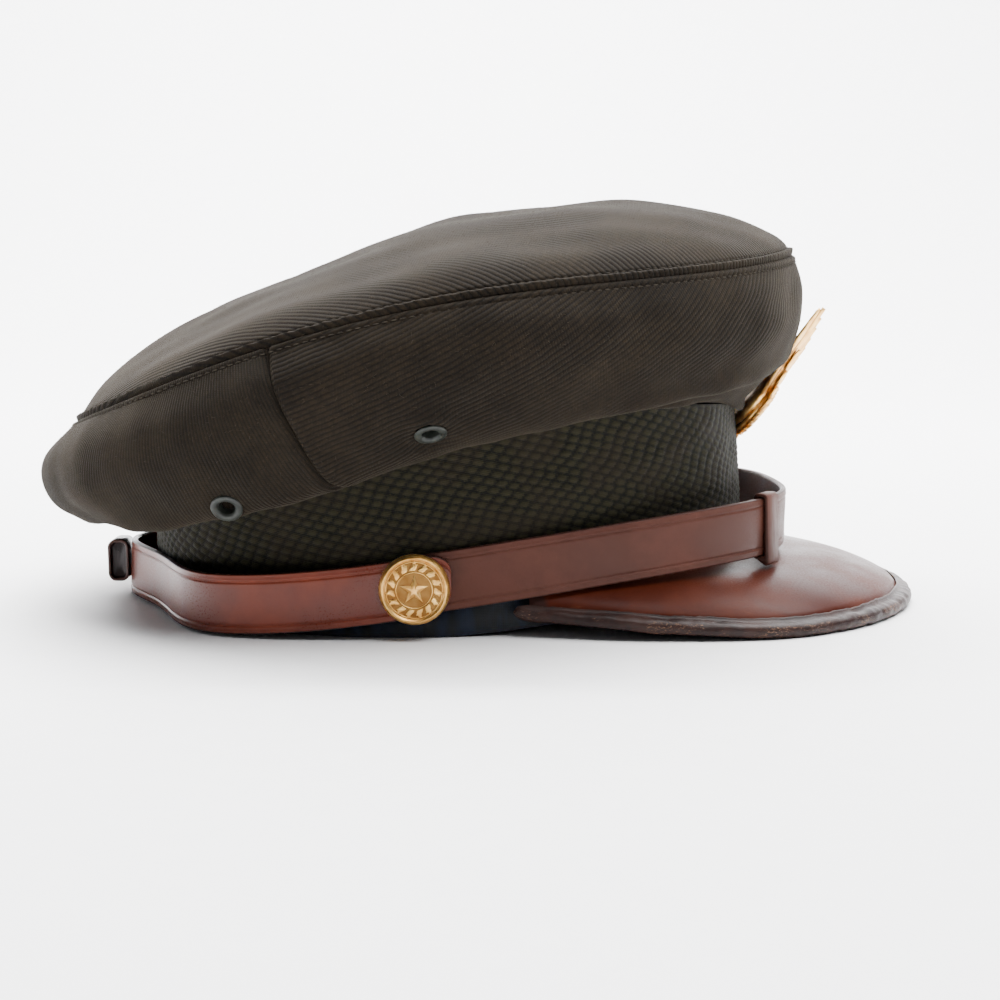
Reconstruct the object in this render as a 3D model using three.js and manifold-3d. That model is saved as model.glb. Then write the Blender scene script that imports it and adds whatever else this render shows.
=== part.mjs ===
// A soft peaked service cap of the kind called a crusher, at rest on a table on its peak and the rear of
// its band. Millimetres. +X is the front of the cap, +Y its left side and +Z up; the origin is on the
// table, under the middle.
import * as THREE from "three";
import { mergeVertices } from "three/addons/utils/BufferGeometryUtils.js";
import Module from "manifold-3d";

const wasm = await Module();
wasm.setup();

const degrees = Math.PI / 180;

// Driving dimensions
const clothThickness = 1.8;
const bandThickness = 2.6;
const liningThickness = 1.2;
const leatherThickness = 2;
const peakThickness = 2.4;
const pieceGap = 0.35;
const originShift = -1.65;

// Each ring goes all the way round the head. x and z are at 0, 45, 90, 135 and 180 degrees round from the
// front, and y is the half width at 45, 90 and 135 degrees; a longer row has more angles, at equal steps.
const crownTuckRing = {
  x: [89.6, 59.4, -13, -83, -113.4],
  y: [60.5, 83, 64],
  z: [69.2, 71.7, 61.5, 53.2, 50.5],
};
const crownSideRings = [
  { x: [91.8, 61.4, -13, -85.5, -116], y: [62.3, 85.2, 66.3], z: [69.2, 71.7, 61.5, 53.2, 50.5] },
  {
    x: [94.8, 64.6, -14, -92.5, -126],
    y: [66, 92.5, 74],
    z: [71.6, 72.4, 71.7, 66, 57, 46.5, 41, 37.5, 36],
  },
  {
    x: [103, 71.6, -15, -100.5, -137],
    y: [75, 104.5, 83],
    z: [81, 80.5, 78, 71.5, 61, 44.5, 34.5, 30, 28.5],
  },
  { x: [112.4, 78, -16, -108.5, -149], y: [82, 115, 92], z: [96, 91, 77, 46, 38] },
  { x: [113.8, 79, -16, -109.5, -150.4], y: [84, 117.5, 94], z: [109, 103, 91.5, 62, 51] },
  { x: [110.4, 76, -15, -103.5, -139], y: [81, 112, 88.5], z: [121, 115, 104, 77, 62.5] },
];
const crownTopRings = [
  crownSideRings.at(-1),
  { x: [103, 70, -14, -96, -129], y: [73.5, 101, 80], z: [127.6, 123.4, 113.4, 88, 76.5] },
  { x: [84, 56, -14, -83, -112], y: [58, 80, 63.5], z: [134.6, 131.6, 120.6, 98.4, 89.5] },
  { x: [50, 31.5, -14, -60, -80], y: [36, 50, 39.5], z: [138.2, 136, 127.4, 111.4, 106.6] },
];
const crownTopCentre = new THREE.Vector3(-14, 0, 131);

// The band leans back with its front lifted by the peak, and its rear third lies on the table.
const bandLowerRing = {
  x: [94.8, 64.4, -12, -83.5, -111.4],
  y: [63.5, 86, 67.5],
  z: [18, 18, 9.6, 0, -0.4],
};
const bandUpperRing = {
  x: [91.1, 61, -13, -85, -115.4],
  y: [61.9, 84.6, 65.8],
  z: [68.6, 71.1, 60.9, 52.6, 49.9],
};
const liningRise = 36;
const liningHem = { flare: 3.2, from: 62 * degrees, to: 128 * degrees, z: [16, 9, 0, 0, 0] };

// The peak runs from the band's lower edge to its own outline, bulging upwards between them.
const peakHalfAngle = 74 * degrees;
const peakSeat = 0.4;
const peakOutline = [
  { x: 150.4, y: 0, z: 4.2 },
  { x: 147.6, y: 24, z: 4.1 },
  { x: 137.8, y: 48, z: 4.0 },
  { x: 119.6, y: 71, z: 4.0 },
  { x: 94, y: 86, z: 4.1 },
  { x: 58, y: 89.2, z: 6.2 },
  { x: 17.5, y: 86.4, z: 9 },
];
const peakBulge = 4.6;
const straightFrom = 0.95;
const binding = { reach: 3.9, leather: 0.9, overlap: 0.97, end: 0.97, droop: 0.08 };

// The front strap lies on the root of the peak and the rear strap stands away from the band.
const strapHeight = 19;
const frontStrap = {
  lower: { x: [109.2, 78, -14, -84, -114], y: [69, 88.8, 69], z: [20.8, 20.2, 8.2, 1, 1] },
  end: 97 * degrees,
};
const rearStrap = {
  lower: {
    x: [105, 98, 75, 34, -14, -60, -92.5, -109, -124],
    y: [36, 68, 86, 91.2, 89.5, 73, 36.5],
    z: [30, 28, 20.6, 14, 7.8, 2.2, 0.9, 1, 1],
  },
  end: 86.5 * degrees,
};
const frontKeeper = { angle: 29 * degrees, width: 9, leather: 1.6 };
const rearKeeper = { width: 12, reach: 8, low: -6, high: 9, corner: 2.4 };

const button = { angle: 92 * degrees, radius: 10.6, dome: 4.6, rim: 1.4, shankRadius: 2, shankReach: 4.8 };

// The badge stands on its foot in front of the band and leans forwards. Its rows are across, up and out.
const badge = { foot: [89.4, 0, 54.6], lean: 36.6 * degrees, sweep: 0.007, plate: [-1.4, 0.7] };
const badgeWreath = { up: 14, across: 12.4, high: 9.3, out: 2.4, radius: 1.8, leaves: 11 };
const badgeBoss = { radius: 6.4, out: 3.9 };
const badgePost = { up: 25, radius: 1.6, length: 12 };
const wingOutline = [
  [0, 21],
  [10, 18],
  [15, 21],
  [20, 26],
  [24.5, 33],
  [27.5, 41],
  [29, 48.5],
  [28, 55.5],
  [24.6, 52.4],
  [21, 49],
  [17.5, 45.5],
  [13.5, 41.8],
  [9.5, 37.5],
  [5.5, 32.5],
  [0, 29.5],
];
const wingFeathers = [
  { from: [7, 27], to: [12.5, 39], wide: 1.3 },
  { from: [10.5, 25], to: [17.5, 43.5], wide: 1.4 },
  { from: [14, 25], to: [22.3, 48.5], wide: 1.5 },
  { from: [18, 28.5], to: [26.8, 52.4], wide: 1.6 },
];

// under is the height of the flange over the cloth, and reach is how far the barrel goes in through it.
const vent = { flangeRadius: 4.9, barrelRadius: 3, boreRadius: 2.1, flange: 1, under: 0.75, reach: 2.8 };
const vents = [
  { name: "front", angle: 88.6 * degrees, level: 0.47 },
  { name: "rear", angle: 119 * degrees, level: 0.42 },
];

const quarterSeam = { atTop: 111 * degrees, atBand: 98 * degrees, halfGap: 0.14 * degrees };

// Levels of the rows of points up the crown's side and in over its top
const sideLevels = [0, 0.1, 0.2, 0.32, 0.432, 0.544, 0.656, 0.768, 0.88, 0.992];
const topLevels = [0.012, 0.09, 0.2, 0.36, 0.54, 0.75];

// How many flat facets go round or along each piece
const facets = { crownFront: 34, crownRear: 22, band: 52, peak: 30, strap: 36 };
const roundFacets = { hole: 12, vent: 14, boss: 16, wreath: 20, button: 24 };

// A smooth even curve through values at equal steps of angle from 0 to 180 degrees.
function evenCurve(values, angle) {
  const last = values.length - 1;
  const share = (i) => (i === 0 || i === last ? 0.5 : 1);
  let sum = 0;
  for (let k = 0; k <= last; k += 1) {
    let weight = 0;
    values.forEach((value, j) => {
      weight += share(j) * value * Math.cos((Math.PI * j * k) / last);
    });
    sum += (2 / last) * share(k) * weight * Math.cos(k * angle);
  }
  return sum;
}

// A smooth odd curve, nil at 0 and 180 degrees, through values at the equal steps between them.
function oddCurve(values, angle) {
  const count = values.length + 1;
  let sum = 0;
  for (let k = 1; k < count; k += 1) {
    let weight = 0;
    values.forEach((value, j) => {
      weight += value * Math.sin((Math.PI * (j + 1) * k) / count);
    });
    sum += (2 / count) * weight * Math.sin(k * angle);
  }
  return sum;
}

// A point of a ring; the table at nought is as low as it goes.
function ringPoint(ring, angle) {
  const height = Math.max(0, evenCurve(ring.z, angle));
  return new THREE.Vector3(evenCurve(ring.x, angle), -oddCurve(ring.y, angle), height);
}

// A point on the smooth curve through points, t steps from the first; before and after lie beyond its ends.
function throughPoints(points, t, before, after) {
  const at = (i) => (i < 0 ? before : i >= points.length ? after : points[i]);
  const i = Math.min(Math.floor(t), points.length - 2);
  const f = t - i;
  const [a, b, c, d] = [at(i - 1), at(i), at(i + 1), at(i + 2)];
  const weights = [
    (-f + 2 * f * f - f * f * f) / 2,
    (2 - 5 * f * f + 3 * f * f * f) / 2,
    (f + 4 * f * f - 3 * f * f * f) / 2,
    (-f * f + f * f * f) / 2,
  ];
  const sum = new THREE.Vector3();
  [a, b, c, d].forEach((point, k) => sum.addScaledVector(point, weights[k]));
  return sum;
}

const beyond = (end, inner) => end.clone().multiplyScalar(2).sub(inner);

// The crown's side at an angle from the front, from level 0 on the band to level 1 at the top seam.
function crownSide(angle, level) {
  const points = crownSideRings.map((ring) => ringPoint(ring, angle));
  const last = points.length - 1;
  const after = beyond(points[last], points[last - 1]);
  return throughPoints(points, level * last, beyond(points[0], points[1]), after);
}

// The crown's top at an angle from the front, from level 0 at the seam to level 1 in the middle.
function crownTop(angle, level) {
  const points = crownTopRings.map((ring) => ringPoint(ring, angle));
  const across = ringPoint(crownTopRings.at(-1), angle + Math.PI);
  points.push(crownTopCentre);
  return throughPoints(points, level * (points.length - 1), beyond(points[0], points[1]), across);
}

// The inward way through a surface given by an angle round the cap and a level that runs up or in.
function inwardOf(surface, angle, level) {
  const step = 1e-3;
  const low = Math.min(level, 1 - step);
  const along = surface(angle + step, low).sub(surface(angle - step, low));
  const up = surface(angle, low + step).sub(surface(angle, low));
  return along.cross(up).normalize();
}

// A closed geometry from the corners of its triangles, with its faces turned outwards. Triangles with two
// corners in one place are left out.
function closed(corners) {
  const apart = 1e-4;
  const positions = [];
  for (let i = 0; i < corners.length; i += 3) {
    const [a, b, c] = corners.slice(i, i + 3);
    if (a.distanceTo(b) > apart && b.distanceTo(c) > apart && c.distanceTo(a) > apart) {
      [a, b, c].forEach((p) => positions.push(p.x, p.y, p.z));
    }
  }
  const geometry = new THREE.BufferGeometry();
  geometry.setAttribute("position", new THREE.Float32BufferAttribute(positions, 3));
  return outwards(geometry);
}

// The corners of a geometry's triangles.
function cornersOf(geometry) {
  const position = (geometry.index ? geometry.toNonIndexed() : geometry).getAttribute("position");
  const corner = (_, i) => new THREE.Vector3().fromBufferAttribute(position, i);
  return Array.from({ length: position.count }, corner);
}

// A closed skin between an outer and an inner grid of points, row by row. Columns that go all the way
// round join up; otherwise both ends are closed, as the first and last rows are.
function skin(outer, inner, round) {
  const triangles = [];
  const quad = (a, b, c, d) => triangles.push(a, b, c, a, c, d);
  const rows = outer.length;
  const columns = outer[0].length;
  const next = (j) => (round ? (j + 1) % columns : j + 1);
  const spans = round ? columns : columns - 1;
  for (let j = 0; j < spans; j += 1) {
    for (let i = 0; i + 1 < rows; i += 1) {
      quad(outer[i][j], outer[i][next(j)], outer[i + 1][next(j)], outer[i + 1][j]);
      quad(inner[i][j], inner[i + 1][j], inner[i + 1][next(j)], inner[i][next(j)]);
    }
    const top = rows - 1;
    quad(outer[0][next(j)], outer[0][j], inner[0][j], inner[0][next(j)]);
    quad(outer[top][j], outer[top][next(j)], inner[top][next(j)], inner[top][j]);
  }
  if (!round) {
    for (let i = 0; i + 1 < rows; i += 1) {
      const end = columns - 1;
      quad(outer[i][0], outer[i + 1][0], inner[i + 1][0], inner[i][0]);
      quad(outer[i + 1][end], outer[i][end], inner[i][end], inner[i + 1][end]);
    }
  }
  return closed(triangles);
}

// A closed bar through loops of points, each loop the same flat section, with both ends filled.
function bar(loops, section) {
  const flat = section.map(([u, v]) => new THREE.Vector2(u, v));
  const ends = THREE.ShapeUtils.triangulateShape(flat, []);
  const triangles = [];
  loops.slice(1).forEach((next, i) => {
    loops[i].forEach((point, j) => {
      const k = (j + 1) % next.length;
      triangles.push(point, loops[i][k], next[k], point, next[k], next[j]);
    });
  });
  const [first, last] = [loops[0], loops.at(-1)];
  ends.forEach(([i, j, k]) => {
    const [p, q] = THREE.ShapeUtils.isClockWise(flat) ? [j, k] : [k, j];
    triangles.push(first[i], first[p], first[q], last[i], last[q], last[p]);
  });
  return closed(triangles);
}

// The geometry with its faces turned outwards.
function outwards(geometry) {
  const position = geometry.getAttribute("position");
  const [a, b, c] = [new THREE.Vector3(), new THREE.Vector3(), new THREE.Vector3()];
  let volume = 0;
  for (let i = 0; i < position.count; i += 3) {
    a.fromBufferAttribute(position, i);
    b.fromBufferAttribute(position, i + 1);
    c.fromBufferAttribute(position, i + 2);
    volume += a.dot(b.clone().cross(c));
  }
  if (volume < 0) {
    for (let i = 0; i < position.count; i += 3) {
      b.fromBufferAttribute(position, i + 1);
      c.fromBufferAttribute(position, i + 2);
      position.setXYZ(i + 1, c.x, c.y, c.z);
      position.setXYZ(i + 2, b.x, b.y, b.z);
    }
  }
  geometry.computeVertexNormals();
  return geometry;
}

function solidOf(geometry) {
  const bare = geometry.index ? geometry.toNonIndexed() : geometry.clone();
  bare.deleteAttribute("normal");
  bare.deleteAttribute("uv");
  const merged = mergeVertices(bare, 1e-4);
  return new wasm.Manifold(
    new wasm.Mesh({
      numProp: 3,
      vertProperties: merged.getAttribute("position").array,
      triVerts: new Uint32Array(merged.index.array),
    }),
  );
}

function geometryOf(solid) {
  const mesh = solid.getMesh();
  const geometry = new THREE.BufferGeometry();
  geometry.setAttribute("position", new THREE.BufferAttribute(mesh.vertProperties, 3));
  geometry.setIndex(new THREE.BufferAttribute(mesh.triVerts, 1));
  geometry.computeVertexNormals();
  return geometry;
}

function steps(from, to, count) {
  return Array.from({ length: count + 1 }, (_, i) => from + ((to - from) * i) / count);
}

// The level outward direction of a ring.
function ringOutward(ring, angle) {
  const step = 1e-3;
  const along = ringPoint(ring, angle + step).sub(ringPoint(ring, angle - step));
  return new THREE.Vector3(-along.y, along.x, 0).normalize();
}

const materials = {
  cloth: new THREE.MeshStandardMaterial({ color: 0x453e36, roughness: 0.95, metalness: 0 }),
  braid: new THREE.MeshStandardMaterial({ color: 0x3a3a22, roughness: 0.85, metalness: 0 }),
  lining: new THREE.MeshStandardMaterial({ color: 0x1e2c48, roughness: 0.5, metalness: 0 }),
  peakLeather: new THREE.MeshStandardMaterial({ color: 0x7a3a28, roughness: 0.2, metalness: 0 }),
  bindingLeather: new THREE.MeshStandardMaterial({ color: 0x46302a, roughness: 0.5, metalness: 0 }),
  strapLeather: new THREE.MeshStandardMaterial({ color: 0x6b4238, roughness: 0.35, metalness: 0 }),
  keeperLeather: new THREE.MeshStandardMaterial({ color: 0x331517, roughness: 0.35, metalness: 0 }),
  gilt: new THREE.MeshStandardMaterial({ color: 0xc89a4a, roughness: 0.3, metalness: 1 }),
  ventEnamel: new THREE.MeshStandardMaterial({ color: 0x4c524e, roughness: 0.5, metalness: 0.2 }),
};

const cap = new THREE.Group();

function piece(name, geometry, material) {
  const mesh = new THREE.Mesh(geometry, material.clone());
  mesh.name = name;
  cap.add(mesh);
}

// The angle of the seam between the front and rear quarters at a level of the crown's side.
const quarterSeamAngle = (level) => quarterSeam.atBand + (quarterSeam.atTop - quarterSeam.atBand) * level;

// The inward way at the top seam, shared by the side and the top so that their edges meet in a mitre.
function seamInward(angle) {
  return inwardOf(crownSide, angle, 1).add(inwardOf(crownTop, angle, 0)).normalize();
}

// The inward way through the cloth of the crown's side; it turns smoothly to the mitre at the top seam.
function sideInward(angle, level) {
  const turnFrom = 0.9;
  const inward = inwardOf(crownSide, angle, level);
  if (level < turnFrom) return inward;
  return inward.lerp(seamInward(angle), (level - turnFrom) / (1 - turnFrom)).normalize();
}

function topInward(angle, level) {
  const turnTo = 0.08;
  const inward = inwardOf(crownTop, angle, level);
  return level > turnTo ? inward : seamInward(angle).lerp(inward, level / turnTo).normalize();
}

// A quarter of the crown's side: a row tucked on to the band, then rows up to the top seam.
function crownQuarter(anglesAt) {
  const tucked = anglesAt(0).map((angle) => ringPoint(crownTuckRing, angle));
  const raised = (point) => point.clone().add(new THREE.Vector3(0, 0, clothThickness));
  const outer = sideLevels.map((level) => anglesAt(level).map((angle) => crownSide(angle, level)));
  const inner = sideLevels.map((level) =>
    anglesAt(level).map((angle) =>
      crownSide(angle, level).addScaledVector(sideInward(angle, level), clothThickness),
    ),
  );
  return skin([tucked, ...outer], [tucked.map(raised), ...inner], false);
}

// Turns a shape that stands on its own +Z axis so that it stands on a normal at a point.
function stoodOn(geometry, point, normal) {
  const turn = new THREE.Quaternion().setFromUnitVectors(new THREE.Vector3(0, 0, 1), normal);
  return geometry.clone().applyQuaternion(turn).translate(point.x, point.y, point.z);
}

// A solid turned round its own +Z axis from rows of radius and height.
function turned(rows, segments) {
  const profile = rows.map(([radius, height]) => new THREE.Vector2(radius, height));
  return closed(cornersOf(new THREE.LatheGeometry(profile, segments).rotateX(Math.PI / 2)));
}

// A plain round bar between two heights.
function roundBar(radius, low, high, segments) {
  return turned(
    [
      [0, low],
      [radius, low],
      [radius, high],
      [0, high],
    ],
    segments,
  );
}

const sides = [
  { name: "right", turn: 1 },
  { name: "left", turn: -1 },
];

function ventPlaces(panel) {
  return vents
    .filter((row) => row.name === panel)
    .flatMap((row) => sides.map((side) => ({ ...row, side: side.name, angle: side.turn * row.angle })));
}

function ventFrame({ angle, level }) {
  return { point: crownSide(angle, level), normal: inwardOf(crownSide, angle, level).negate() };
}

// The cloth with a round hole for each vent's barrel.
function withVentHoles(cloth, panel) {
  const reach = 8;
  const cutter = roundBar(vent.barrelRadius + pieceGap, -reach, reach, roundFacets.vent);
  return ventPlaces(panel).reduce((solid, place) => {
    const { point, normal } = ventFrame(place);
    return solid.subtract(solidOf(stoodOn(cutter, point, normal)));
  }, cloth);
}

function ventRings(panel) {
  const { flangeRadius, barrelRadius, boreRadius, flange, under, reach } = vent;
  const ring = turned(
    [
      [boreRadius, -reach],
      [barrelRadius, -reach],
      [barrelRadius, under],
      [flangeRadius, under],
      [flangeRadius, under + flange * 0.5],
      [flangeRadius - 0.8, under + flange],
      [boreRadius + 0.7, under + flange],
      [boreRadius, under + flange * 0.4],
      [boreRadius, -reach],
    ],
    roundFacets.vent,
  );
  ventPlaces(panel).forEach((place) => {
    const { point, normal } = ventFrame(place);
    piece(`vent_${place.side}_${panel}`, stoodOn(ring, point, normal), materials.ventEnamel);
  });
}

function crown() {
  const frontAngles = (level) => {
    const edge = quarterSeamAngle(level) - quarterSeam.halfGap;
    return steps(-edge, edge, facets.crownFront);
  };
  const rearAngles = (level) => {
    const edge = quarterSeamAngle(level) + quarterSeam.halfGap;
    return steps(edge, 2 * Math.PI - edge, facets.crownRear);
  };
  const front = withPostHole(withVentHoles(solidOf(crownQuarter(frontAngles)), "front"));
  const rear = withVentHoles(solidOf(crownQuarter(rearAngles)), "rear");
  piece("crown_front", geometryOf(front), materials.cloth);
  piece("crown_rear", geometryOf(rear), materials.cloth);
  const around = [...frontAngles(1), ...rearAngles(1).slice(1, -1)];
  const outer = topLevels.map((level) => around.map((angle) => crownTop(angle, level)));
  const inner = topLevels.map((level) =>
    around.map((angle) => crownTop(angle, level).addScaledVector(topInward(angle, level), clothThickness)),
  );
  outer.push(around.map(() => crownTopCentre));
  inner.push(around.map(() => crownTopCentre.clone().sub(new THREE.Vector3(0, 0, clothThickness))));
  piece("crown_top", skin(outer, inner, true), materials.cloth);
  ventRings("front");
  ventRings("rear");
}

const bandAngles = steps(0, 2 * Math.PI, facets.band).slice(0, -1);

function band() {
  const outer = [0, 0.5, 1].map((level) =>
    bandAngles.map((angle) => ringPoint(bandLowerRing, angle).lerp(ringPoint(bandUpperRing, angle), level)),
  );
  const inner = outer.map((row) =>
    row.map((point, j) => {
      return point.clone().addScaledVector(ringOutward(bandLowerRing, bandAngles[j]), -bandThickness);
    }),
  );
  piece("band", skin(outer, inner, true), materials.braid);
}

// How far the lining's hem flares out under the band, at an angle from the front.
function hemFlare(angle) {
  const middle = (liningHem.from + liningHem.to) / 2;
  const half = (liningHem.to - liningHem.from) / 2;
  const off = Math.abs(Math.abs(wrapped(angle)) - middle) / half;
  return off >= 1 ? 0 : liningHem.flare * Math.cos((off * Math.PI) / 2) ** 2;
}

const wrapped = (angle) => Math.atan2(Math.sin(angle), Math.cos(angle));

function sweatband() {
  const inset = bandThickness + pieceGap;
  const low = (angle) => Math.max(0, evenCurve(liningHem.z, angle));
  const bandLow = (angle) => evenCurve(bandLowerRing.z, angle);
  const rows = [
    (angle) => ({ out: hemFlare(angle) - inset, z: low(angle) }),
    (angle) => ({ out: hemFlare(angle) * 0.6 - inset, z: Math.max(low(angle) + 0.4, bandLow(angle) - 4) }),
    (angle) => ({ out: -inset, z: Math.max(low(angle) + 0.8, bandLow(angle) - 0.6) }),
    (angle) => ({ out: -inset, z: bandLow(angle) + liningRise }),
  ];
  const at = (angle, { out, z }, extra) => {
    const level = Math.max(0, z - bandLow(angle)) / (evenCurve(bandUpperRing.z, angle) - bandLow(angle));
    const point = ringPoint(bandLowerRing, angle).lerp(ringPoint(bandUpperRing, angle), level);
    return point.setZ(z).addScaledVector(ringOutward(bandLowerRing, angle), out - extra);
  };
  const outer = rows.map((row) => bandAngles.map((angle) => at(angle, row(angle), 0)));
  const inner = rows.map((row) => bandAngles.map((angle) => at(angle, row(angle), liningThickness)));
  piece("sweatband", skin(outer, inner, true), materials.lining);
}

// The peak's outline at a share of the way from its middle to its end; positive shares are on the right.
function outlinePoint(share) {
  const points = peakOutline.map(({ x, y, z }) => new THREE.Vector3(x, -y, z));
  const mirrored = points[1].clone().setY(-points[1].y);
  const last = points.length - 1;
  const after = beyond(points[last], points[last - 1]);
  const point = throughPoints(points, Math.abs(share) * last, mirrored, after);
  return share < 0 ? point.setY(-point.y) : point;
}

// The peak's upper face, from level 0 at the band to level 1 at its outline.
function peakTop(share, level) {
  const angle = share * peakHalfAngle;
  const root = ringPoint(bandLowerRing, angle);
  root.addScaledVector(ringOutward(bandLowerRing, angle), pieceGap).setZ(root.z + peakSeat);
  const edge = outlinePoint(share);
  const middle = 1 - share * share;
  const arch = (t) => 2.6 * t * Math.sqrt(1 - t);
  const last = arch(straightFrom) * ((1 - level) / (1 - straightFrom));
  const rise = peakBulge * (0.35 + 0.65 * middle) * (level > straightFrom ? last : arch(level));
  return root.lerp(edge, level).add(new THREE.Vector3(0, 0, rise));
}

const peakShares = steps(-1, 1, facets.peak);

function peak() {
  const levels = [0, 0.1, 0.28, 0.52, 0.78, straightFrom, 1];
  const outer = levels.map((level) => peakShares.map((share) => peakTop(share, level)));
  const down = new THREE.Vector3(0, 0, -peakThickness);
  const inner = outer.map((row) => row.map((point) => point.clone().add(down)));
  piece("peak", skin(outer, inner, false), materials.peakLeather);
}

// A point beside the peak's edge: outwards it runs on nearly level for a reach, and a negative reach is a
// share of the straight last strip of the peak's upper face.
function besideEdge(share, reach) {
  if (reach <= 0) return outlinePoint(share).lerp(peakTop(share, straightFrom), -reach);
  const step = 1e-3;
  const along = outlinePoint(Math.min(share + step, 1)).sub(outlinePoint(Math.max(share - step, -1)));
  const out = new THREE.Vector3(-along.y, along.x, -binding.droop * along.length()).normalize();
  return outlinePoint(share).addScaledVector(out, reach);
}

// The rolled leather that wraps the peak's edge, with a slot for the edge.
function peakBinding() {
  const { reach, leather, overlap, end } = binding;
  const top = pieceGap + leather;
  const slot = [pieceGap, -peakThickness - pieceGap];
  const foot = slot[1] - leather;
  const section = [
    [-overlap, top - 0.3],
    [-overlap * 0.7, top],
    [reach * 0.4, top],
    [reach * 0.8, top - 1.2],
    [reach, (top + foot) / 2],
    [reach * 0.8, foot + 1.2],
    [reach * 0.4, foot],
    [-overlap, foot],
    [-overlap, slot[1]],
    [0, slot[1]],
    [pieceGap, slot[1]],
    [pieceGap, slot[0]],
    [0, slot[0]],
    [-overlap, slot[0]],
  ];
  const loops = peakShares
    .filter((share) => Math.abs(share) < end)
    .map((share) => section.map(([u, v]) => besideEdge(share, u).add(new THREE.Vector3(0, 0, v))));
  piece("peak_binding", bar(loops, section), materials.bindingLeather);
}

// A strap's outer face at an angle from the front, from level 0 at its lower edge to level 1 at its upper.
const strapFace = (strap) => (angle, level) =>
  ringPoint(strap.lower, angle).add(new THREE.Vector3(0, 0, strapHeight * level));

// A flat strap along part of a ring. The taper rounds its ends: it is the share of the height that each
// edge loses at the last columns.
function strapBody(strap, from, to) {
  const angles = steps(from, to, facets.strap);
  const face = strapFace(strap);
  const taper = [0.26, 0.1];
  const outer = [0, 0.5, 1].map((level) =>
    angles.map((angle, j) => {
      const trim = taper[Math.min(j, facets.strap - j)] ?? 0;
      return face(angle, level * (1 - 2 * trim) + trim);
    }),
  );
  const inner = outer.map((row) =>
    row.map((point, j) => {
      return point.clone().addScaledVector(ringOutward(strap.lower, angles[j]), -leatherThickness);
    }),
  );
  return skin(outer, inner, false);
}

function buttonFrame(turn) {
  const angle = turn * button.angle;
  const normal = ringOutward(rearStrap.lower, angle);
  const point = strapFace(rearStrap)(angle, 0.5);
  return { point, normal };
}

function withShankHoles(strap) {
  const cutter = roundBar(button.shankRadius + pieceGap, -12, 6, roundFacets.hole);
  return sides.reduce((solid, { turn }) => {
    const { point, normal } = buttonFrame(turn);
    return solid.subtract(solidOf(stoodOn(cutter, point, normal)));
  }, strap);
}

function straps() {
  const front = strapBody(frontStrap, -frontStrap.end, frontStrap.end);
  const rear = strapBody(rearStrap, rearStrap.end, 2 * Math.PI - rearStrap.end);
  piece("chin_strap", geometryOf(withShankHoles(solidOf(front))), materials.strapLeather);
  piece("rear_strap", geometryOf(withShankHoles(solidOf(rear))), materials.strapLeather);
}

// Puts a point of a strap's section, given as out and up from its middle, on the strap at an angle, with a
// distance along the strap.
function strapPlace(strap, angle) {
  const centre = strapFace(strap)(angle, 0.5);
  const out = ringOutward(strap.lower, angle);
  const ahead = new THREE.Vector3(-out.y, out.x, 0);
  return ([u, v], along) =>
    centre
      .clone()
      .addScaledVector(out, u)
      .addScaledVector(ahead, along)
      .add(new THREE.Vector3(0, 0, v));
}

// A closed leather loop round a strap at an angle, with its outline and its hole in the strap's section.
function strapLoop(strap, angle, width, outline, hole) {
  const place = strapPlace(strap, angle);
  const [outer, inner] = [outline, hole].map((points) =>
    [-width / 2, width / 2].map((along) => points.map((point) => place(point, along))),
  );
  return skin(outer, inner, true);
}

// A box in a strap's section with its corners cut, walked round from one corner.
function boxOutline([left, right], [low, high], corner) {
  return [
    [left + corner, low],
    [right - corner, low],
    [right, low + corner],
    [right, high - corner],
    [right - corner, high],
    [left + corner, high],
    [left, high - corner],
    [left, low + corner],
  ];
}

function keepers() {
  const { angle, width, leather } = frontKeeper;
  const around = (clear, corner) => {
    const half = strapHeight / 2 + clear;
    return boxOutline([-leatherThickness - clear, clear], [-half, half], corner);
  };
  const front = strapLoop(frontStrap, angle, width, around(pieceGap + leather, 1), around(pieceGap, 0.2));
  piece("front_keeper", front, materials.strapLeather);
  piece("rear_keeper", rearKeeperTab(), materials.keeperLeather);
}

// The rear keeper: leather folded over on itself into a thick tab, which sticks out behind the strap.
function rearKeeperTab() {
  const { width, reach, low, high, corner } = rearKeeper;
  const outline = boxOutline([pieceGap, reach], [low, high], corner);
  const place = strapPlace(rearStrap, Math.PI);
  const loops = [-width / 2, width / 2].map((along) => outline.map((point) => place(point, along)));
  return bar(loops, outline);
}

function buttons() {
  const { radius, dome, rim, shankRadius, shankReach } = button;
  const back = pieceGap;
  const body = turned(
    [
      [0, -shankReach],
      [shankRadius, -shankReach],
      [shankRadius, back],
      [radius - 0.6, back],
      [radius, back + 0.5],
      [radius, back + rim],
      [radius - 0.7, back + rim + 0.5],
      [radius - 1.6, back + rim + 0.3],
      [radius * 0.6, back + dome * 0.82],
      [0, back + dome],
    ],
    roundFacets.button,
  );
  const star = starPrism(radius * 0.5, radius * 0.2, back + dome * 0.5, back + dome + 0.35);
  const face = geometryOf(solidOf(body).add(solidOf(star)));
  sides.forEach(({ name, turn }) => {
    const { point, normal } = buttonFrame(turn);
    piece(`button_${name}`, stoodOn(face, point, normal), materials.gilt);
  });
}

// A plain five-pointed star between two heights.
function starPrism(tip, notch, low, high) {
  const outline = Array.from({ length: 10 }, (_, i) => {
    const radius = i % 2 ? notch : tip;
    const angle = (i * Math.PI) / 5;
    return [radius * Math.sin(angle), radius * Math.cos(angle)];
  });
  return prism(outline, low, high);
}

const flatPoints = (rows) => rows.map(([across, up]) => new THREE.Vector2(across, up));

// A flat outline raised between two heights.
function prism(outline, low, high) {
  const shape = new THREE.Shape(flatPoints(outline));
  return new THREE.ExtrudeGeometry(shape, { depth: high - low, bevelEnabled: false }).translate(0, 0, low);
}

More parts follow.
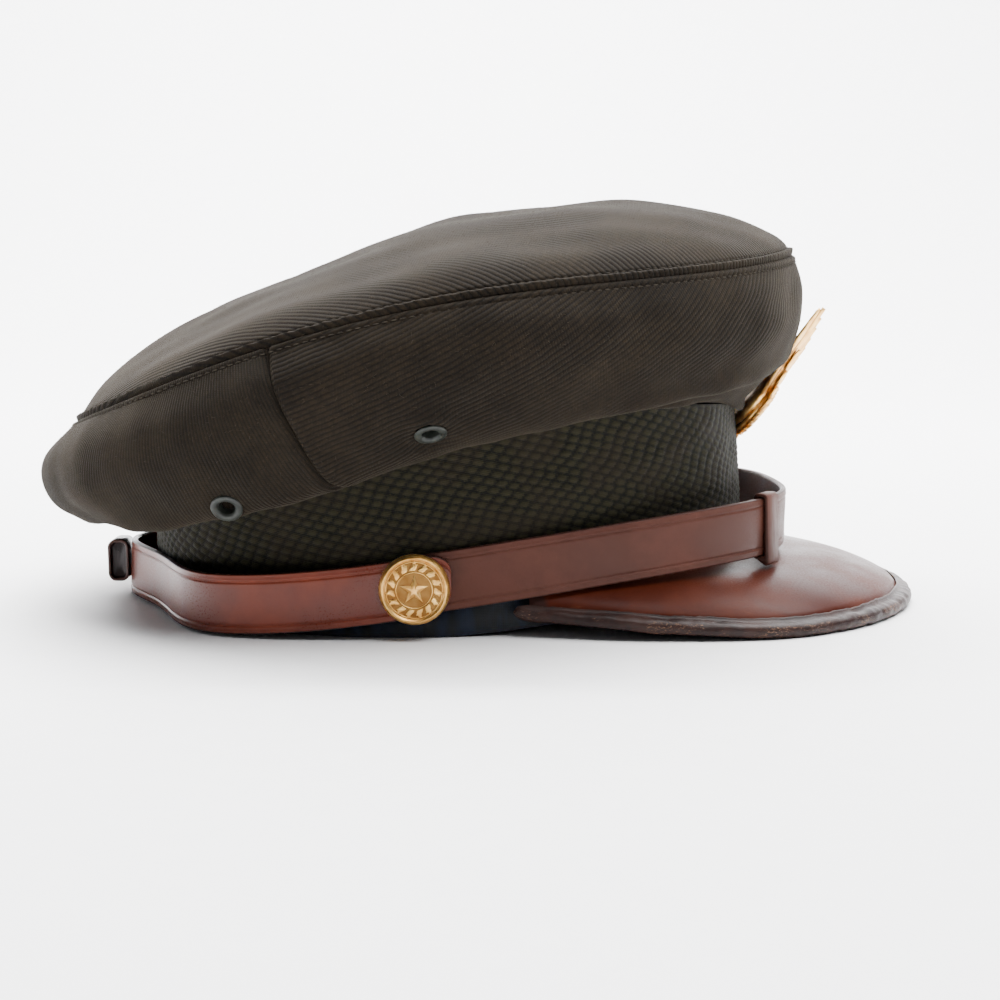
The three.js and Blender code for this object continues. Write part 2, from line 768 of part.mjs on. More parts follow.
// A feather: a narrow lozenge with a ridge, from its root to its tip.
function feather({ from, to, wide }, turn) {
  const [start, end] = flatPoints([from, to]);
  const side = end.clone().sub(start).normalize().rotateAround(new THREE.Vector2(), Math.PI / 2);
  const [low, high] = [badge.plate[1] - 0.3, badge.plate[1] + 0.8];
  const middle = start.clone().lerp(end, 0.55);
  const beside = (reach) => middle.clone().addScaledVector(side, reach);
  const rim = [start, beside(-wide), end, beside(wide)];
  const foot = rim.map((point) => new THREE.Vector3(point.x * turn, point.y, low));
  const crest = new THREE.Vector3(middle.x * turn, middle.y, high);
  const triangles = foot.flatMap((point, i) => [point, foot[(i + 1) % foot.length], crest]);
  triangles.push(foot[0], foot[2], foot[1], foot[0], foot[3], foot[2]);
  return closed(triangles);
}

// An oval wreath: a ring whose thickness swells and narrows once for each pair of leaves.
function wreathRing() {
  const { up, across, high, out, radius, leaves } = badgeWreath;
  const around = leaves * 4;
  const loops = Array.from({ length: around }, (_, i) => {
    const angle = (2 * Math.PI * i) / around;
    const swell = radius * (1 + 0.22 * Math.cos(angle * leaves));
    return Array.from({ length: 6 }, (_, k) => {
      const turn = (2 * Math.PI * k) / 6;
      const reach = swell * Math.cos(turn);
      return new THREE.Vector3(
        (across + reach) * Math.sin(angle),
        up - (high + reach) * Math.cos(angle),
        out + radius * Math.sin(turn),
      );
    });
  });
  const triangles = loops.flatMap((loop, i) => {
    const next = loops[(i + 1) % around];
    return loop.flatMap((point, k) => {
      const j = (k + 1) % loop.length;
      return [point, loop[j], next[j], point, next[j], next[k]];
    });
  });
  return closed(triangles);
}

function badgeSolid() {
  const { up, across, high } = badgeWreath;
  const oval = steps(0, 2 * Math.PI, roundFacets.wreath)
    .slice(0, -1)
    .map((angle) => [across * Math.sin(angle), up + high * Math.cos(angle)]);
  const dome = turned(
    [
      [0, 1],
      [badgeBoss.radius, 1],
      [badgeBoss.radius, 2.2],
      [badgeBoss.radius * 0.62, badgeBoss.out - 0.5],
      [0, badgeBoss.out],
    ],
    roundFacets.boss,
  ).translate(0, up, 0);
  const mirrored = wingOutline.slice(1, -1).map(([x, y]) => [-x, y]);
  const wings = prism([...wingOutline, ...mirrored.reverse()], ...badge.plate);
  const parts = [wings, prism(oval, 0.3, 1.9), wreathRing(), dome];
  sides.forEach(({ turn }) => wingFeathers.forEach((row) => parts.push(feather(row, turn))));
  return parts.map(solidOf).reduce((sum, part) => sum.add(part));
}

// The badge's own axes: across the cap, up the badge and out of its face.
function badgeFrame() {
  const { foot, lean, sweep } = badge;
  const upward = new THREE.Vector3(Math.sin(lean), 0, Math.cos(lean));
  const outward = new THREE.Vector3(Math.cos(lean), 0, -Math.sin(lean));
  const place = (across, up, out) =>
    new THREE.Vector3(...foot)
      .add(new THREE.Vector3(0, across, 0))
      .addScaledVector(upward, up)
      .addScaledVector(outward, out - sweep * across * across);
  return { upward, outward, place };
}

function badgePiece() {
  const { place, outward } = badgeFrame();
  const bent = cornersOf(geometryOf(badgeSolid())).map((point) => place(point.x, point.y, point.z));
  const { up, radius, length } = badgePost;
  const post = roundBar(radius, -length, badge.plate[0] + 0.5, roundFacets.hole);
  const standing = stoodOn(post, place(0, up, 0), outward);
  piece("badge", geometryOf(solidOf(closed(bent)).add(solidOf(standing))), materials.gilt);
}

// The hole in the front of the crown for the badge's post.
function withPostHole(cloth) {
  const { place, outward } = badgeFrame();
  const cutter = roundBar(badgePost.radius + pieceGap, -badgePost.length - 4, 0, roundFacets.hole);
  return cloth.subtract(solidOf(stoodOn(cutter, place(0, badgePost.up, 0), outward)));
}

crown();
band();
sweatband();
peak();
peakBinding();
straps();
keepers();
buttons();
badgePiece();

// The front and the rear of the cap are the same distance from the origin.
cap.position.x = originShift;

export default cap;
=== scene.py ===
"""The finish of a soft peaked service cap at rest on a table: cloth, braid, leather and metal."""
import math

import bmesh
import bpy
import numpy as np
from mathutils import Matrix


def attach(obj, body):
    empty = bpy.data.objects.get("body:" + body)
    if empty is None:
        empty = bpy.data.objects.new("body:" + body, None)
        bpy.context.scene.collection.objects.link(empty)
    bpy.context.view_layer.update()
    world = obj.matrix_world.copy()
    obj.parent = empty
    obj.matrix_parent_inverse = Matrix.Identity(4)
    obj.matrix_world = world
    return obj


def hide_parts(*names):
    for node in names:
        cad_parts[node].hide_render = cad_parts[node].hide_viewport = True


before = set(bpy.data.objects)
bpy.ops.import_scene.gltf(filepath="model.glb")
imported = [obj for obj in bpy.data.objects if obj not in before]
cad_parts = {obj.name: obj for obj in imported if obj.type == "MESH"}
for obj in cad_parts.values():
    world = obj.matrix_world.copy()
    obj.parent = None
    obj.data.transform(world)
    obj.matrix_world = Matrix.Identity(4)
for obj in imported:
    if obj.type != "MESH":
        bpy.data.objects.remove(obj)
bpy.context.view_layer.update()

MM = 0.001
ORIGIN_SHIFT = np.array([-1.65, 0.0, 0.0])
CLOTH = 1.8
BAND = 2.6
LINING = 1.2
LEATHER = 2.0
PEAK = 2.4
GAP = 0.35

# Rings of the cap in millimetres. x and z are at equal angles from the front round to the back, and y is the
# half width at the angles between. A positive angle is on the cap's right, which faces the camera.
CROWN_TUCK = {"x": [89.6, 59.4, -13, -83, -113.4], "y": [60.5, 83, 64], "z": [69.2, 71.7, 61.5, 53.2, 50.5]}
CROWN_SIDE = [
    {"x": [91.8, 61.4, -13, -85.5, -116], "y": [62.3, 85.2, 66.3], "z": [69.2, 71.7, 61.5, 53.2, 50.5]},
    {
        "x": [94.8, 64.6, -14, -92.5, -126],
        "y": [66, 92.5, 74],
        "z": [71.6, 72.4, 71.7, 66, 57, 46.5, 41, 37.5, 36],
    },
    {
        "x": [103, 71.6, -15, -100.5, -137],
        "y": [75, 104.5, 83],
        "z": [81, 80.5, 78, 71.5, 61, 44.5, 34.5, 30, 28.5],
    },
    {"x": [112.4, 78, -16, -108.5, -149], "y": [82, 115, 92], "z": [96, 91, 77, 46, 38]},
    {"x": [113.8, 79, -16, -109.5, -150.4], "y": [84, 117.5, 94], "z": [109, 103, 91.5, 62, 51]},
    {"x": [110.4, 76, -15, -103.5, -139], "y": [81, 112, 88.5], "z": [121, 115, 104, 77, 62.5]},
]
CROWN_TOP = [
    CROWN_SIDE[-1],
    {"x": [103, 70, -14, -96, -129], "y": [73.5, 101, 80], "z": [127.6, 123.4, 113.4, 88, 76.5]},
    {"x": [84, 56, -14, -83, -112], "y": [58, 80, 63.5], "z": [134.6, 131.6, 120.6, 98.4, 89.5]},
    {"x": [50, 31.5, -14, -60, -80], "y": [36, 50, 39.5], "z": [138.2, 136, 127.4, 111.4, 106.6]},
]
CROWN_CENTRE = np.array([-14.0, 0.0, 131.0])
BAND_LOWER = {"x": [94.8, 64.4, -12, -83.5, -111.4], "y": [63.5, 86, 67.5], "z": [18, 18, 9.6, 0, -0.4]}
BAND_UPPER = {
    "x": [91.1, 61, -13, -85, -115.4],
    "y": [61.9, 84.6, 65.8],
    "z": [68.6, 71.1, 60.9, 52.6, 49.9],
}
FRONT_STRAP = {"x": [109.2, 78, -14, -84, -114], "y": [69, 88.8, 69], "z": [20.8, 20.2, 8.2, 1, 1]}
REAR_STRAP = {
    "x": [105, 98, 75, 34, -14, -60, -92.5, -109, -124],
    "y": [36, 68, 86, 91.2, 89.5, 73, 36.5],
    "z": [30, 28, 20.6, 14, 7.8, 2.2, 0.9, 1, 1],
}
LINING_HEM = {"flare": 3.2, "from": math.radians(62), "to": math.radians(128), "z": [16, 9, 0, 0, 0]}
LINING_RISE = 36
BAND_RADIUS = 92
QUARTER_SEAM = {"at_top": math.radians(111), "at_band": math.radians(98)}

PEAK_OUTLINE = [
    (150.4, 0, 4.2),
    (147.6, 24, 4.1),
    (137.8, 48, 4.0),
    (119.6, 71, 4.0),
    (94, 86, 4.1),
    (58, 89.2, 6.2),
    (17.5, 86.4, 9),
]
PEAK_HALF_ANGLE = math.radians(74)
PEAK_SEAT = 0.4
PEAK_BULGE = 4.6
PEAK_STRAIGHT_FROM = 0.95
BINDING = {"reach": 3.9, "leather": 0.9, "overlap": 0.5, "tip": 0.02, "run": 250}

STRAP_HEIGHT = 19
FRONT_STRAP_END = math.radians(97)
REAR_STRAP_END = math.radians(86.5)
BUTTON_ANGLE = math.radians(92)
BUTTON_RADIUS = 10.6
BUTTON_SWELL = 1.05
FRONT_KEEPER = {"angle": math.radians(29), "width": 9, "leather": 1.1, "flap": 2.0}
REAR_KEEPER = {"width": 12, "reach": 8, "low": -6, "high": 9, "rim": 1.1}

BADGE_FOOT = np.array([89.4, 0, 54.6])
BADGE_LEAN = math.radians(36.6)
BADGE_SWEEP = 0.007
BADGE_BACK = -1.4
WREATH = {"up": 14, "across": 12.4, "high": 9.3}
BADGE_POST = {"up": 25, "radius": 1.6, "length": 12}

VENTS = [
    {"name": "front", "angle": math.radians(88.6), "level": 0.47, "tilt": 0.4},
    {"name": "rear", "angle": math.radians(118.4), "level": 0.45, "tilt": -0.15},
]
SIDES = {"right": 1, "left": -1}

RIB_PITCH = 1.6
STITCH_PITCH = 2.7
# The braid's bricks lie along one slant and stack along the other: a length and an angle on the right side.
# The rows of bricks are staggered unevenly, by a share of a brick.
BRICK = (4.1, math.radians(-18))
STACK = (2.7, math.radians(50))
BRICK_STAGGER = 0.3


# Curves and surfaces of the cap


def even_curve(values, angle):
    """A smooth even curve through values at equal steps of angle from 0 to 180 degrees."""
    last = len(values) - 1
    steps = np.arange(last + 1)
    share = np.where((steps == 0) | (steps == last), 0.5, 1.0)
    total = np.zeros_like(np.asarray(angle, float))
    for k in steps:
        weight = np.sum(share * values * np.cos(np.pi * steps * k / last))
        total += 2 / last * share[k] * weight * np.cos(k * angle)
    return total


def odd_curve(values, angle):
    """A smooth odd curve, nil at 0 and 180 degrees, through values at the equal steps between them."""
    count = len(values) + 1
    inner = np.arange(1, count)
    total = np.zeros_like(np.asarray(angle, float))
    for k in inner:
        weight = np.sum(values * np.sin(np.pi * inner * k / count))
        total += 2 / count * weight * np.sin(k * angle)
    return total


def ring_point(ring, angle):
    height = np.maximum(0, even_curve(ring["z"], angle))
    return np.stack([even_curve(ring["x"], angle), -odd_curve(ring["y"], angle), height], -1)


def unit(vectors):
    return vectors / np.maximum(np.linalg.norm(vectors, axis=-1, keepdims=True), 1e-9)


def ring_outward(ring, angle):
    """The level outward direction of a ring."""
    step = 1e-3
    along = ring_point(ring, angle + step) - ring_point(ring, angle - step)
    flat = np.stack([-along[..., 1], along[..., 0], np.zeros_like(along[..., 0])], -1)
    return unit(flat)


def curve_weights(f):
    """The weights of four points in a row on the smooth curve between the middle two, at a share f."""
    return [
        (-f + 2 * f**2 - f**3) / 2,
        (2 - 5 * f**2 + 3 * f**3) / 2,
        (f + 4 * f**2 - 3 * f**3) / 2,
        (-(f**2) + f**3) / 2,
    ]


def through(points, t, before, after):
    """A point on the smooth curve through points, t steps from the first; before and after lie beyond it."""
    rows = np.stack([before, *points, after])
    index = np.clip(np.floor(t).astype(int), 0, len(points) - 2)
    total = 0
    for step, weight in enumerate(curve_weights(t - index)):
        picked = np.take_along_axis(rows, (index + step)[None, ..., None], 0)[0]
        total = total + picked * weight[..., None]
    return total


def crown_side(angle, level):
    """The crown's side, from level 0 on the band to level 1 at the top seam."""
    points = [ring_point(ring, angle) for ring in CROWN_SIDE]
    before = 2 * points[0] - points[1]
    after = 2 * points[-1] - points[-2]
    return through(points, level * (len(points) - 1), before, after)


def crown_top(angle, level):
    """The crown's top, from level 0 at the seam to level 1 in the middle."""
    points = [ring_point(ring, angle) for ring in CROWN_TOP]
    before = 2 * points[0] - points[1]
    across = ring_point(CROWN_TOP[-1], angle + np.pi)
    points.append(np.broadcast_to(CROWN_CENTRE, points[0].shape))
    return through(points, level * (len(points) - 1), before, across)


def outward_of(surface, angle, level):
    """The outward way through a surface given by an angle round the cap and a level that runs up or in."""
    step = 1e-3
    low = np.minimum(level, 1 - step)
    along = surface(angle + step, low) - surface(angle - step, low)
    up = surface(angle, low + step) - surface(angle, low)
    return unit(np.cross(up, along))


def seam_outward(angle):
    """The outward way at the top seam, shared by the side and the top."""
    return unit(outward_of(crown_side, angle, np.ones_like(angle)) + outward_of(crown_top, angle, 0 * angle))


def soft_noise(points, wavelength, seed):
    """A smooth field, mostly between -1 and 1, that changes over a wavelength."""
    rng = np.random.default_rng(seed)
    waves = 14
    total = 0
    for _ in range(waves):
        direction = rng.normal(size=3)
        rate = 2 * np.pi / (wavelength * rng.uniform(0.7, 1.5) * np.linalg.norm(direction))
        total = total + np.sin(points @ direction * rate + rng.uniform(0, 2 * np.pi))
    return total / waves**0.5


def bump(distance, centre, width):
    return np.exp(-(((distance - centre) / width) ** 2))


def lengths_along(points):
    """The length from the first row to each row of a grid, down each column."""
    steps = np.linalg.norm(np.diff(points, axis=0), axis=2)
    return np.vstack([np.zeros(points.shape[1]), np.cumsum(steps, 0)])


def run_along(line):
    """The length from the first point to each point of a line."""
    return np.concatenate([[0], np.cumsum(np.linalg.norm(np.diff(line, axis=0), axis=1))])


def grid_of(across, down):
    """Two grids: one repeats the row of values on every row, the other the column on every column."""
    return across[None] * np.ones((len(down), 1)), down[:, None] * np.ones(len(across))


def full_turn(count):
    """Angles at equal steps all the way round, without the last."""
    return np.linspace(0, 2 * np.pi, count, endpoint=False)


def turned_flat(flat, turn):
    """Flat coordinates turned by an angle."""
    x, y = flat[..., 0], flat[..., 1]
    return np.stack([x * math.cos(turn) + y * math.sin(turn), y * math.cos(turn) - x * math.sin(turn)], -1)


# Meshes


def grid_faces(rows, columns, wrap):
    """The corners of a grid's quads as rows and columns; a wrapped grid's last column goes past the end."""
    spans = columns if wrap else columns - 1
    i, j = np.meshgrid(np.arange(rows - 1), np.arange(spans), indexing="ij")
    i, j = i.ravel(), j.ravel()
    return np.stack([i, i + 1, i + 1, i], -1), np.stack([j, j, j + 1, j + 1], -1)


def wrapped_flat(flat, period):
    """Flat coordinates with one more column, a period on from the first."""
    return np.concatenate([flat, flat[:, :1] + np.asarray(period)], 1)


def tube_faces(rings, around):
    """The faces of a closed tube of rings, with a cap at each end."""
    faces = []
    for i in range(rings - 1):
        for j in range(around):
            k = (j + 1) % around
            faces.append([i * around + j, i * around + k, (i + 1) * around + k, (i + 1) * around + j])
    return faces + [list(range(around)), [(rings - 1) * around + j for j in range(around)]]


def repeated_faces(count, rings, around):
    """The faces of a number of tubes whose points follow one another."""
    faces = tube_faces(rings, around)
    return [[k * rings * around + v for v in face] for k in range(count) for face in faces]


def new_mesh(name, points, faces, flat=None, corners=None, fields=None, merge=False):
    """A smooth closed mesh from points in the cap's millimetres; flat[corners] lays the faces out flat."""
    mesh = bpy.data.meshes.new(name)
    mesh.from_pydata(((points + ORIGIN_SHIFT) * MM).tolist(), [], [list(f) for f in faces])
    if flat is not None:
        layer = mesh.uv_layers.new(name="flat")
        layer.data.foreach_set("uv", np.asarray(flat)[np.asarray(corners)].astype(np.float32).ravel())
    for key, values in (fields or {}).items():
        attribute = mesh.attributes.new(key, "FLOAT", "POINT")
        attribute.data.foreach_set("value", np.asarray(values, np.float32).ravel())
    form = bmesh.new()
    form.from_mesh(mesh)
    if merge:
        bmesh.ops.remove_doubles(form, verts=form.verts, dist=1e-6)
    bmesh.ops.recalc_face_normals(form, faces=form.faces)
    for face in form.faces:
        face.smooth = True
    form.to_mesh(mesh)
    form.free()
    made = bpy.data.objects.new(name, mesh)
    bpy.context.scene.collection.objects.link(made)
    return made


def shell(name, outer, inner, flat, wrap=False, period=(0, 0), fields=None, merge=False):
    """A closed skin between an outer and an inner grid that share their columns."""
    rows, columns = outer.shape[:2]
    back_rows = inner.shape[0]
    laid = wrapped_flat(flat, period) if wrap else flat
    across = laid.shape[1]
    picks = np.linspace(0, rows - 1, back_rows).round().astype(int)
    sheets = [(rows, 0, np.arange(rows)), (back_rows, rows * columns, picks)]
    faces, corners = [], []
    for sheet, (count, first, flat_rows) in enumerate(sheets):
        i, j = grid_faces(count, columns, wrap)
        if sheet:
            i, j = i[:, ::-1], j[:, ::-1]
        faces.append(first + i * columns + j % columns)
        corners.append(flat_rows[i] * across + j)
    spans = np.arange(columns if wrap else columns - 1)
    for top in (False, True):
        i, k = (rows - 1, back_rows - 1) if top else (0, 0)
        a, b = spans, spans + 1
        back = rows * columns + k * columns
        quad = np.stack([i * columns + a, i * columns + b % columns, back + b % columns, back + a], -1)
        laid_row = (rows - 1 if top else 0) * across
        corner = np.stack([laid_row + a, laid_row + b, laid_row + b, laid_row + a], -1)
        faces.append(quad if not top else quad[:, ::-1])
        corners.append(corner if not top else corner[:, ::-1])
    points = np.concatenate([outer.reshape(-1, 3), inner.reshape(-1, 3)])
    all_faces = [face for part in faces for face in part.tolist()]
    all_corners = [c for part in corners for face in part.tolist() for c in face]
    if not wrap:
        for end in (0, columns - 1):
            front = [i * columns + end for i in range(rows)]
            back = [(rows + k) * columns + end for k in range(back_rows)]
            loop = front + back[::-1]
            all_faces.append(loop)
            all_corners += [i * across + end for i in range(rows)]
            all_corners += [int(r) * across + end for r in picks[::-1]]
    joined = None
    if fields:
        joined = {key: np.concatenate([v.ravel(), v[picks].ravel()]) for key, v in fields.items()}
    return new_mesh(name, points, all_faces, laid.reshape(-1, 2), all_corners, joined, merge)


def loft(name, loops, flat, closed=False, fields=None):
    """A solid through closed loops; flat has one more column than the loops, and one more row if closed."""
    stations, count = loops.shape[:2]
    spans = stations if closed else stations - 1
    i, j = np.meshgrid(np.arange(spans), np.arange(count), indexing="ij")
    i, j = i.ravel(), j.ravel()
    ring = np.stack([i, i, i + 1, i + 1], -1)
    turn = np.stack([j, j + 1, j + 1, j], -1)
    faces = ((ring % stations) * count + turn % count).tolist()
    corners = (ring * (count + 1) + turn).ravel().tolist()
    if not closed:
        for end in (0, stations - 1):
            faces.append([end * count + k for k in range(count)])
            corners += [end * (count + 1) + k for k in range(count)]
    return new_mesh(name, loops.reshape(-1, 3), faces, flat.reshape(-1, 2), corners, fields)


def place(piece, slot, material, *nodes):
    """Gives a piece its material and its place in the frame; it stands for the nodes."""
    piece.data.materials.append(material)
    if nodes:
        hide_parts(*nodes)
    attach(piece, "root")
    return piece


# Materials


def new_material(name, **settings):
    """A material with a principled shader, and the settings put on its own sockets."""
    material = bpy.data.materials.new(name)
    material.use_nodes = True
    tree = material.node_tree
    shader = tree.nodes["Principled BSDF"]
    for key, value in settings.items():
        shader.inputs[key.replace("_", " ")].default_value = value
    return material, tree, shader


def add(tree, kind, inputs=None, **settings):
    """A new node with its settings and inputs; an input that is a socket is linked."""
    made = tree.nodes.new(kind)
    for key, value in settings.items():
        setattr(made, key, value)
    for key, value in (inputs or {}).items():
        if isinstance(value, bpy.types.NodeSocket):
            tree.links.new(value, made.inputs[key])
        else:
            made.inputs[key].default_value = value
    return made


def calc(tree, operation, first, second=None, clamp=False):
    inputs = {0: first} if second is None else {0: first, 1: second}
    return add(tree, "ShaderNodeMath", inputs, operation=operation, use_clamp=clamp).outputs[0]


def spread(tree, value, low, high, to_low=0.0, to_high=1.0):
    """The value moved from one range to another, kept inside it."""
    inputs = {"Value": value, "From Min": low, "From Max": high, "To Min": to_low, "To Max": to_high}
    return add(tree, "ShaderNodeMapRange", inputs, interpolation_type="SMOOTHSTEP").outputs["Result"]


def blend(tree, share, first, second):
    """Two colours mixed by a share."""
    made = add(tree, "ShaderNodeMix", data_type="RGBA")
    for socket, value in zip((made.inputs[0], made.inputs[6], made.inputs[7]), (share, first, second)):
        if isinstance(value, bpy.types.NodeSocket):
            tree.links.new(value, socket)
        else:
            socket.default_value = value
    return made.outputs[2]


def noise(tree, vector, size, detail=2.0, roughness=0.5, distortion=0.0):
    """Noise whose features are about a size across, in the units of the vector."""
    inputs = {"Vector": vector, "Scale": 1 / size, "Detail": detail, "Roughness": roughness}
    inputs["Distortion"] = distortion
    return add(tree, "ShaderNodeTexNoise", inputs).outputs["Fac"]


def bands(tree, vector, pitch, distortion=0.0):
    """Waves across the vector's first axis, a pitch apart, from 0 to 1."""
    inputs = {"Vector": vector, "Scale": math.pi / 10 / pitch, "Distortion": distortion, "Detail": 1.0}
    made = add(tree, "ShaderNodeTexWave", inputs, wave_type="BANDS", bands_direction="X", wave_profile="SIN")
    return made.outputs["Fac"]


def flat_place(tree, turn=0.0, stretch=(1, 1)):
    """The place on the flat layout, in millimetres, turned and stretched."""
    laid = add(tree, "ShaderNodeUVMap", uv_map="flat").outputs["UV"]
    if turn == 0 and stretch == (1, 1):
        return laid
    inputs = {"Vector": laid, "Rotation": (0, 0, turn), "Scale": (*stretch, 1)}
    return add(tree, "ShaderNodeMapping", inputs).outputs["Vector"]


def body_place(tree):
    """The place in the cap, in millimetres."""
    laid = add(tree, "ShaderNodeTexCoord").outputs["Object"]
    return add(tree, "ShaderNodeVectorMath", {0: laid, "Scale": 1 / MM}, operation="SCALE").outputs[0]


def field(tree, name):
    return add(tree, "ShaderNodeAttribute", attribute_name=name).outputs["Fac"]


def relief(tree, shader, height, depth, strength):
    """Raises the surface by a height from 0 to 1, times a depth in millimetres."""
    inputs = {"Height": height, "Distance": depth * MM, "Strength": strength}
    tree.links.new(add(tree, "ShaderNodeBump", inputs).outputs["Normal"], shader.inputs["Normal"])


def colour(red, green, blue):
    """A shader colour from the 0 to 255 numbers that a screen shows."""
    parts = [c / 255 for c in (red, green, blue)]
    return (*[p / 12.92 if p < 0.04045 else ((p + 0.055) / 1.055) ** 2.4 for p in parts], 1)


def twill_cloth():
    """Olive-brown wool twill: slanting ribs that a felted nap hides in places."""
    material, tree, shader = new_material(
        "olive_twill",
        Sheen_Weight=0.06,
        Sheen_Roughness=0.4,
        Sheen_Tint=colour(214, 196, 168),
        Specular_IOR_Level=0.1,
    )
    laid = flat_place(tree)
    body = body_place(tree)
    ribs = bands(tree, laid, RIB_PITCH, 0.9)
    yarn = bands(tree, flat_place(tree, math.radians(68)), RIB_PITCH * 0.55, 1.5)
    fuzz = noise(tree, laid, 0.4, 4, 0.7)
    fibres = noise(tree, flat_place(tree, math.radians(35), (1, 0.22)), 0.28, 3, 0.7)
    tufts = noise(tree, laid, 2.2, 4, 0.65)
    worn = noise(tree, body, 26, 4, 0.55)
    nap = calc(tree, "ADD", field(tree, "nap"), spread(tree, worn, 0.35, 0.65, -0.3, 0.3), clamp=True)
    bare = calc(tree, "SUBTRACT", 1.0, calc(tree, "MULTIPLY", nap, 0.85))
    rounded = calc(tree, "MULTIPLY", calc(tree, "POWER", ribs, 0.6), bare)
    height = calc(tree, "ADD", calc(tree, "MULTIPLY", rounded, 0.6), calc(tree, "MULTIPLY", yarn, 0.12))
    height = calc(tree, "ADD", height, calc(tree, "MULTIPLY", fuzz, 0.5))
    relief(tree, shader, height, 0.4, 0.85)
    # Painted shade: the furrows between the ribs are darkened towards near black, less where the nap hides
    # them.
    furrow_shade = calc(tree, "MULTIPLY", spread(tree, ribs, 0.5, 0.05), bare)
    thread = blend(tree, spread(tree, worn, 0.35, 0.65), colour(24, 19, 13), colour(32, 26, 18))
    thread = blend(tree, calc(tree, "MULTIPLY", furrow_shade, 0.8), thread, colour(9, 8, 7))
    thread = blend(tree, spread(tree, tufts, 0.4, 0.62, 0.45, 0), thread, colour(17, 15, 13))
    thread = blend(tree, spread(tree, fuzz, 0.52, 0.72, 0, 0.5), thread, colour(49, 41, 29))
    thread = blend(tree, spread(tree, fibres, 0.64, 0.74, 0, 0.6), thread, colour(72, 62, 46))
    tree.links.new(thread, shader.inputs["Base Color"])
    tree.links.new(spread(tree, fuzz, 0.3, 0.7, 0.86, 0.98), shader.inputs["Roughness"])
    return material


def braid_cloth():
    """Olive-green braid: the cells are in the mesh, and the yarns in each cell are here. The gaps between the
    cells are painted near black as shade.
    """
    material, tree, shader = new_material(
        "olive_braid", Sheen_Weight=0.05, Sheen_Roughness=0.5, Specular_IOR_Level=0.15
    )
    laid = flat_place(tree)
    slanted = flat_place(tree, BRICK[1] + math.pi / 2)
    yarns = bands(tree, slanted, 0.55, 1.2)
    fuzz = noise(tree, laid, 0.5, 3, 0.6)
    patches = noise(tree, laid, 14, 3, 0.5)
    crest = field(tree, "crest")
    height = calc(tree, "ADD", calc(tree, "MULTIPLY", yarns, 0.55), calc(tree, "MULTIPLY", fuzz, 0.45))
    relief(tree, shader, height, 0.16, 0.8)
    # Painted shade: the colour runs from near black in the gaps between the braid's cells to olive on their
    # crests.
    thread = blend(tree, spread(tree, crest, 0.25, 0.95), colour(5, 5, 3), colour(33, 31, 16))
    # Painted highlights: pale khaki specks where the fuzz noise is high.
    thread = blend(tree, spread(tree, fuzz, 0.5, 0.75, 0, 0.4), thread, colour(60, 57, 35))
    thread = blend(tree, spread(tree, patches, 0.4, 0.65, 0, 0.35), thread, colour(32, 24, 16))
    tree.links.new(thread, shader.inputs["Base Color"])
    tree.links.new(spread(tree, fuzz, 0.3, 0.7, 0.7, 0.9), shader.inputs["Roughness"])
    return material


def lining_cloth():
    """Navy oilcloth with a satin face and a fine weave. Its navy is darkened as painted shade, and darker
    still in the crease hollows as painted shade.
    """
    material, tree, shader = new_material("navy_lining", Specular_IOR_Level=0.25)
    laid = flat_place(tree)
    weave = calc(tree, "MULTIPLY", bands(tree, laid, 0.5), bands(tree, flat_place(tree, math.pi / 2), 0.5))
    creases = noise(tree, flat_place(tree, 0, (1, 0.3)), 6, 4, 0.6)
    height = calc(tree, "ADD", calc(tree, "MULTIPLY", weave, 0.3), creases)
    relief(tree, shader, height, 0.25, 0.6)
    # Painted shade: the navy is kept near black overall, darkest in the crease hollows and lighter on the
    # crease ridges.
    dyed = blend(tree, spread(tree, creases, 0.35, 0.7), colour(5, 9, 16), colour(15, 27, 46))
    tree.links.new(dyed, shader.inputs["Base Color"])
    tree.links.new(spread(tree, creases, 0.3, 0.7, 0.32, 0.5), shader.inputs["Roughness"])
    return material


def leather(name, dark, light, gloss, coat, grain, shine, edge):
    """Smooth leather with a fine grain, mottled dye and scuffs; edge is the colour of its cut edges."""
    settings = {"Coat_Weight": coat, "Coat_Roughness": 0.15, "Specular_IOR_Level": shine}
    material, tree, shader = new_material(name, **settings)
    laid = flat_place(tree)
    body = body_place(tree)
    clouds = noise(tree, body, 26, 4, 0.6)
    speckle = noise(tree, laid, 0.7, 3, 0.7)
    pores = add(tree, "ShaderNodeTexVoronoi", {"Vector": laid, "Scale": 1 / grain}).outputs["Distance"]
    streaks = noise(tree, flat_place(tree, math.radians(24), (1, 0.05)), 0.8, 3, 0.6)
    height = calc(tree, "ADD", calc(tree, "MULTIPLY", pores, 0.45), calc(tree, "MULTIPLY", speckle, 0.55))
    relief(tree, shader, height, 0.05, 0.5)
    dyed = blend(tree, spread(tree, clouds, 0.36, 0.66), dark, light)
    dyed = blend(tree, spread(tree, speckle, 0.56, 0.74, 0, 0.35), dyed, dark)
    dyed = blend(tree, spread(tree, streaks, 0.68, 0.8, 0, 0.3), dyed, colour(120, 84, 64))
    dyed = blend(tree, spread(tree, field(tree, "edge"), 0.25, 0.8), dyed, edge)
    tree.links.new(dyed, shader.inputs["Base Color"])
    rough = spread(tree, calc(tree, "ADD", clouds, speckle), 0.7, 1.3, gloss * 0.75, gloss * 1.35)
    tree.links.new(rough, shader.inputs["Roughness"])
    return material


